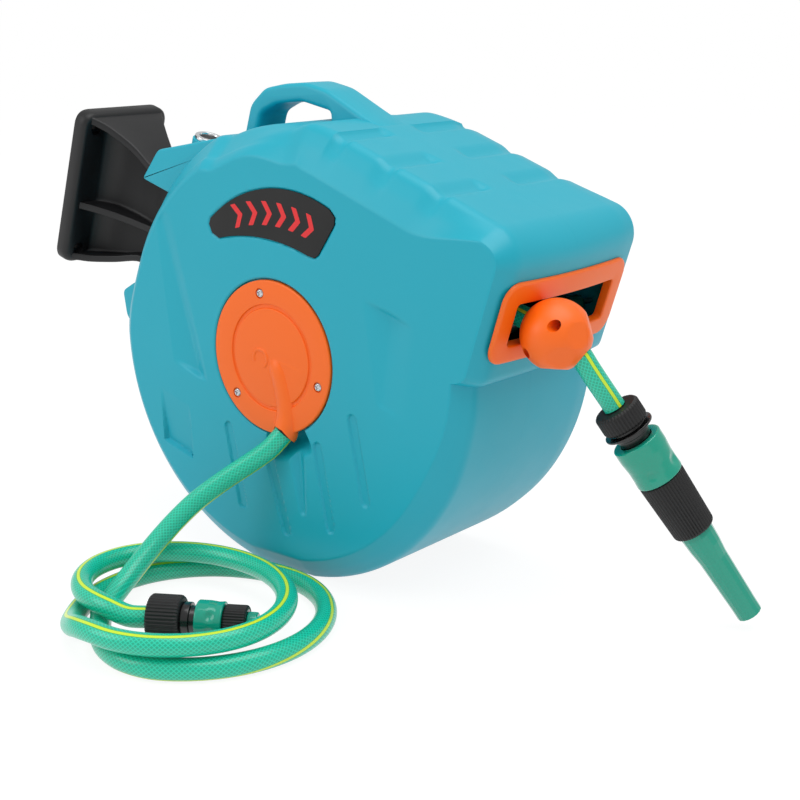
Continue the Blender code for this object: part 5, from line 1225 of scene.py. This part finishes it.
for name, side in (("left", -1), ("right", 1)):
    near, far = sorted((0.075 * side * mm, side * 0.1))
    changes = [(cutter_box("half", (-0.1, near, -0.1), (0.1, far, 0.1)), "INTERSECT"),
               (swept("ball_bore", bore_line, [9.1 * mm] * len(bore_line), 40), "DIFFERENCE")]
    for dx, dz in ball_screws:
        if side < 0:
            well = scaled([(0, -60), (4.1, -60), (4.1, -6), (2.2, -6), (2.2, 5), (0, 5)])
        else:
            well = scaled([(0, -5), (2.2, -5), (2.2, 10), (0, 10)])
        changes.append((turned("ball_well", well, 28, along_y(dx, dz)), "DIFFERENCE"))
    mesh = combined(ball_mesh.copy(), changes)
    mesh.name = f"ball_{name}_shell"
    mesh.transform(LEVEL @ Matrix.Translation(BALL_CENTRE))
    finish_piece(mesh.name, mesh, ORANGE, "case",
                                    (f"stop_ball_{name}",), 14)
for i, (dx, dz) in enumerate(ball_screws):
    seat = Matrix.Translation(BALL_CENTRE + Vector((dx, -6.3 * mm, dz)))
    place = LEVEL @ seat @ Matrix.Rotation(math.pi / 2, 4, "X")
    screw(f"ball_screw_fine_{i + 1}", f"ball_screw_{i + 1}", place, 3.8 * mm, 1.6 * mm,
                             -15.3 * mm)
print("ball flats:", len(flats))

# %% [markdown]
# ## Nozzle and connectors
#
# Each end of hose carries turned parts on one axis: a nut with fine ribs, the connector core, a
# sliding collar with finger dimples, and the nozzle's ribbed grip and long tip (or the tap end). They
# are turned profiles whose radius ripples round the axis, which makes ribs without any cutting.

# %% Turned fittings


def ribs(count, depth, inside):
    """A ripple of fine round-backed ribs on the faces that lie outside the given radius."""
    return lambda r, h, turn: r - depth * (0.5 + 0.5 * math.cos(count * turn)) ** 2 if r > inside else r


def dimples(places, height, depth, spread, inside):
    """A ripple of finger dimples at angles round the axis, all at one height."""
    def ripple(r, h, turn):
        if r < inside:
            return r
        sunk = 0.0
        for at in places:
            off = math.atan2(math.sin(turn - at), math.cos(turn - at)) * r
            away = (off / spread) ** 2 + ((h - height) / (0.8 * spread)) ** 2
            sunk = max(sunk, depth * math.exp(-away ** 1.5))
        return r - sunk
    return ripple


def axis_matrix(start, heading):
    """The world matrix of a fitting whose axis starts at a level-frame place."""
    return LEVEL @ Matrix.Translation(start) @ heading.to_track_quat("Z", "Y").to_matrix().to_4x4()


def spread_profile(points, step):
    """Add points along the long straight parts of an outline."""
    dense = []
    for a, b in zip(points, points[1:] + points[:1]):
        parts = max(int(math.hypot(b[0] - a[0], b[1] - a[1]) / step), 1)
        dense += [(a[0] + (b[0] - a[0]) * k / parts, a[1] + (b[1] - a[1]) * k / parts) for k in range(parts)]
    return dense


def fitting(name, node, profile, look, matrix, body="case", ripple=None, steps=64, edge=0.5, step=None,
            angle=35):
    """A turned fitting; its profile, edge radius and step are in millimetres."""
    outline = rounded([(r * mm, h * mm) for r, h in profile], edge * mm, 3)
    if step:
        outline = spread_profile(outline, step * mm)
    mesh = turned(name, outline, steps, matrix, ripple)
    return finish_piece(name, mesh, look, body, (node,), angle)


def gripped(name, node, profile, matrix, count, depth, inside, edge=0.7):
    """A black fitting with a count of ribs outside a radius, eight faces to a rib; depth is in metres."""
    ripple = ribs(count, depth, inside * mm)
    return fitting(name, node, profile, BLACK_GRIP, matrix, ripple=ripple, steps=8 * count,
                   edge=edge, angle=60)


GLOSS_BLACK = plastic("polished_black_nylon", "#0B0B0C", 0.25, 3 * mm, 0.01 * mm, 0.02, 0.3)
line = axis_matrix(nozzle_start, nozzle_heading)
facing = line.inverted().to_3x3() @ (camera.matrix_world.translation - line.translation)
front_turn = math.atan2(facing.y, facing.x)
outlet_pieces = [
    gripped("outlet_hose_nut", "outlet_nut",
            [(4.5, 0.3), (15.4, 0.3), (17, 2.2), (17, 13.4), (15.8, 15.3), (4.5, 15.3)], line,
            40, 0.7 * mm, 14),
    fitting("outlet_connector_core", "outlet_core",
            [(4.5, 15.6), (13, 15.6), (13, 17.6), (18.4, 17.6), (18.4, 19.3), (13, 19.3), (13, 23.2),
             (12, 23.2), (12, 56.2), (4.5, 56.2)], GLOSS_BLACK, line),
    fitting("outlet_connector_collar", "outlet_collar",
            [(12.3, 28.2), (17.5, 28.2), (18.3, 29), (18.3, 38), (17.4, 47), (17.4, 54), (17.8, 60.4),
             (17.2, 61.2), (12.3, 61.2)], GREEN, line, "outlet_collar",
            dimples([front_turn + t for t in (0.3, -1.05, 2.1, 3.4)], 52.2 * mm, 1.7 * mm, 4.6 * mm, 15 * mm),
            128, 0.6, 1.2),
    gripped("nozzle_grip_sleeve", "nozzle_grip",
            [(4.5, 61.5), (16.2, 61.5), (17.4, 62.6), (15.9, 107.6), (14.9, 109), (4.5, 109)], line, 44,
            0.65 * mm, 14.5)]
end_heading = coil[-1] - coil[-2]
end_heading.z = 0.0
coil_line = axis_matrix(coil[-1], end_heading.normalized())
facing = coil_line.inverted().to_3x3() @ (camera.matrix_world.translation - coil_line.translation)
front_turn = math.atan2(facing.y, facing.x)
inlet_pieces = [
    gripped("inlet_hose_nut", "inlet_nut",
            [(4.5, 0.3), (15.4, 0.3), (17, 2), (17, 22.4), (15.6, 24.3), (4.5, 24.3)], coil_line,
            40, 0.7 * mm, 14),
    fitting("inlet_connector_core", "inlet_core",
            [(4.5, 24.6), (12.5, 24.6), (12.5, 30.6), (10, 30.6), (10, 71.1), (4.5, 71.1)], GLOSS_BLACK,
            coil_line),
    fitting("inlet_connector_collar", "inlet_collar",
            [(10.3, 35.1), (13.8, 35.1), (14.5, 35.9), (14.5, 44), (13.8, 50), (14.2, 54), (13.6, 54.6),
             (10.3, 54.6)], GREEN, coil_line, "inlet_collar",
            dimples([front_turn + t for t in (-0.2, 0.7, 2.9)], 46 * mm, 1.5 * mm, 3.4 * mm, 12 * mm),
            96, 0.5, 1.2),
    gripped("inlet_grip_ring", "inlet_ring",
            [(10.3, 54.9), (11.8, 54.9), (12.5, 56), (12.5, 70), (11.6, 71.1), (10.3, 71.1)], coil_line, 36,
            0.6 * mm, 10.9, 0.4),
    fitting("inlet_tap_end", "inlet_end", [(4.5, 71.4), (8, 71.4), (8, 77.6), (7.4, 78.4), (4.5, 78.4)],
            GREEN, coil_line)]
print("fittings:", len(outlet_pieces) + len(inlet_pieces))

# %% [markdown]
# ## Inside: drum, wound hose and mechanism
#
# The wound hose and the lead to the mouth get the same braided hose as outside; the layers under it get a
# plain dark green, which is painted shade inside the drum.
# The drum and the small mechanism keep their shapes and get plastics and metals. They are hardly seen
# through the mouth, so more geometry there would be wasted.

# %% Wound hose
WINDING_RADIUS, WINDING_PITCH, WINDING_TURNS, WINDING_START = 100.3 * mm, 16.63 * mm, 5, 49 * mm
winding = []
for i in range(WINDING_TURNS * 44 + 1):
    angle = math.pi / 2 + 2 * math.pi * (WINDING_TURNS - i / 44)
    winding.append(Vector((WINDING_RADIUS * math.cos(angle), WINDING_START - WINDING_PITCH * i / 44,
                           WINDING_RADIUS * math.sin(angle))))
way = Vector((1.0, -WINDING_PITCH / (2 * math.pi * WINDING_RADIUS), 0.0))
winding = [winding[0] - 2 * HOSE_RADIUS * way] + winding + [winding[-1] + 2 * HOSE_RADIUS * way]
outward = [Vector((p.x, 0, p.z)).normalized() for p in winding]
leaned = lambda points: [REEL @ p for p in points]
hose_tube("wound_hose_braided", leaned(winding), [REEL.to_3x3() @ p for p in outward], "drum",
          ("wound_hose",), 24)
leaving = (winding[-1] - winding[-2]).normalized()
lead_start = winding[-1] + FIT * leaving
lead_way = reel_way(mouth_heading)
lead_end = reel_place(outlet_places[0]) - FIT * lead_way
lead_places = [lead_start, lead_start.lerp(lead_end, 0.5), lead_end]
lead = refined(squared_route(lead_places, 18 * mm, leaving, lead_way, 12 * mm), 3)
hose_tube("lead_hose_braided", leaned(lead), [REEL.to_3x3() @ Vector((0, 0, 1))] * len(lead), "case",
          ("hose_lead",), 32)
layer_low, layer_high, layer_top = -59.2 * mm, 57.2 * mm, 91 * mm
scallops = [(60.3 * mm, layer_low)]
for k in range(8):
    centre = layer_low + (layer_high - layer_low) * (k + 0.5) / 8
    half = (layer_high - layer_low) / 16
    scallops += [(layer_top - half * (1 - math.sin(t)), centre - half * math.cos(t))
                 for t in np.linspace(0.12, math.pi - 0.12, 9)]
scallops.append((60.3 * mm, layer_high))
layers_mesh = turned("inner_layers_braided", scallops, 96, REEL @ along_y(0, 0))
# The inner hose layers are dark green as painted shade, not the braided hose.
finish_piece("inner_layers_braided", layers_mesh, DARK_GREEN_AND_SHADE, "drum", ("inner_hose_layers",), 40)
print("wound hose:", round(WINDING_TURNS * 2 * math.pi * WINDING_RADIUS, 2), "m")

# %% Mechanism looks
for node, look in (("drum", BLACK), ("spring_case", ZINC), ("spring_arbor", STEEL), ("power_spring", STEEL),
                   ("ratchet_wheel", WHITE), ("pawl", BLACK), ("pawl_pin", STEEL), ("pawl_spring", STEEL),
                   ("inlet_elbow", BLACK), ("nozzle_tip", GREEN)):
    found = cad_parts[node]
    for obj in found if isinstance(found, (list, tuple)) else [found]:
        obj.data.materials.clear()
        obj.data.materials.append(look)
print("mechanism dressed")
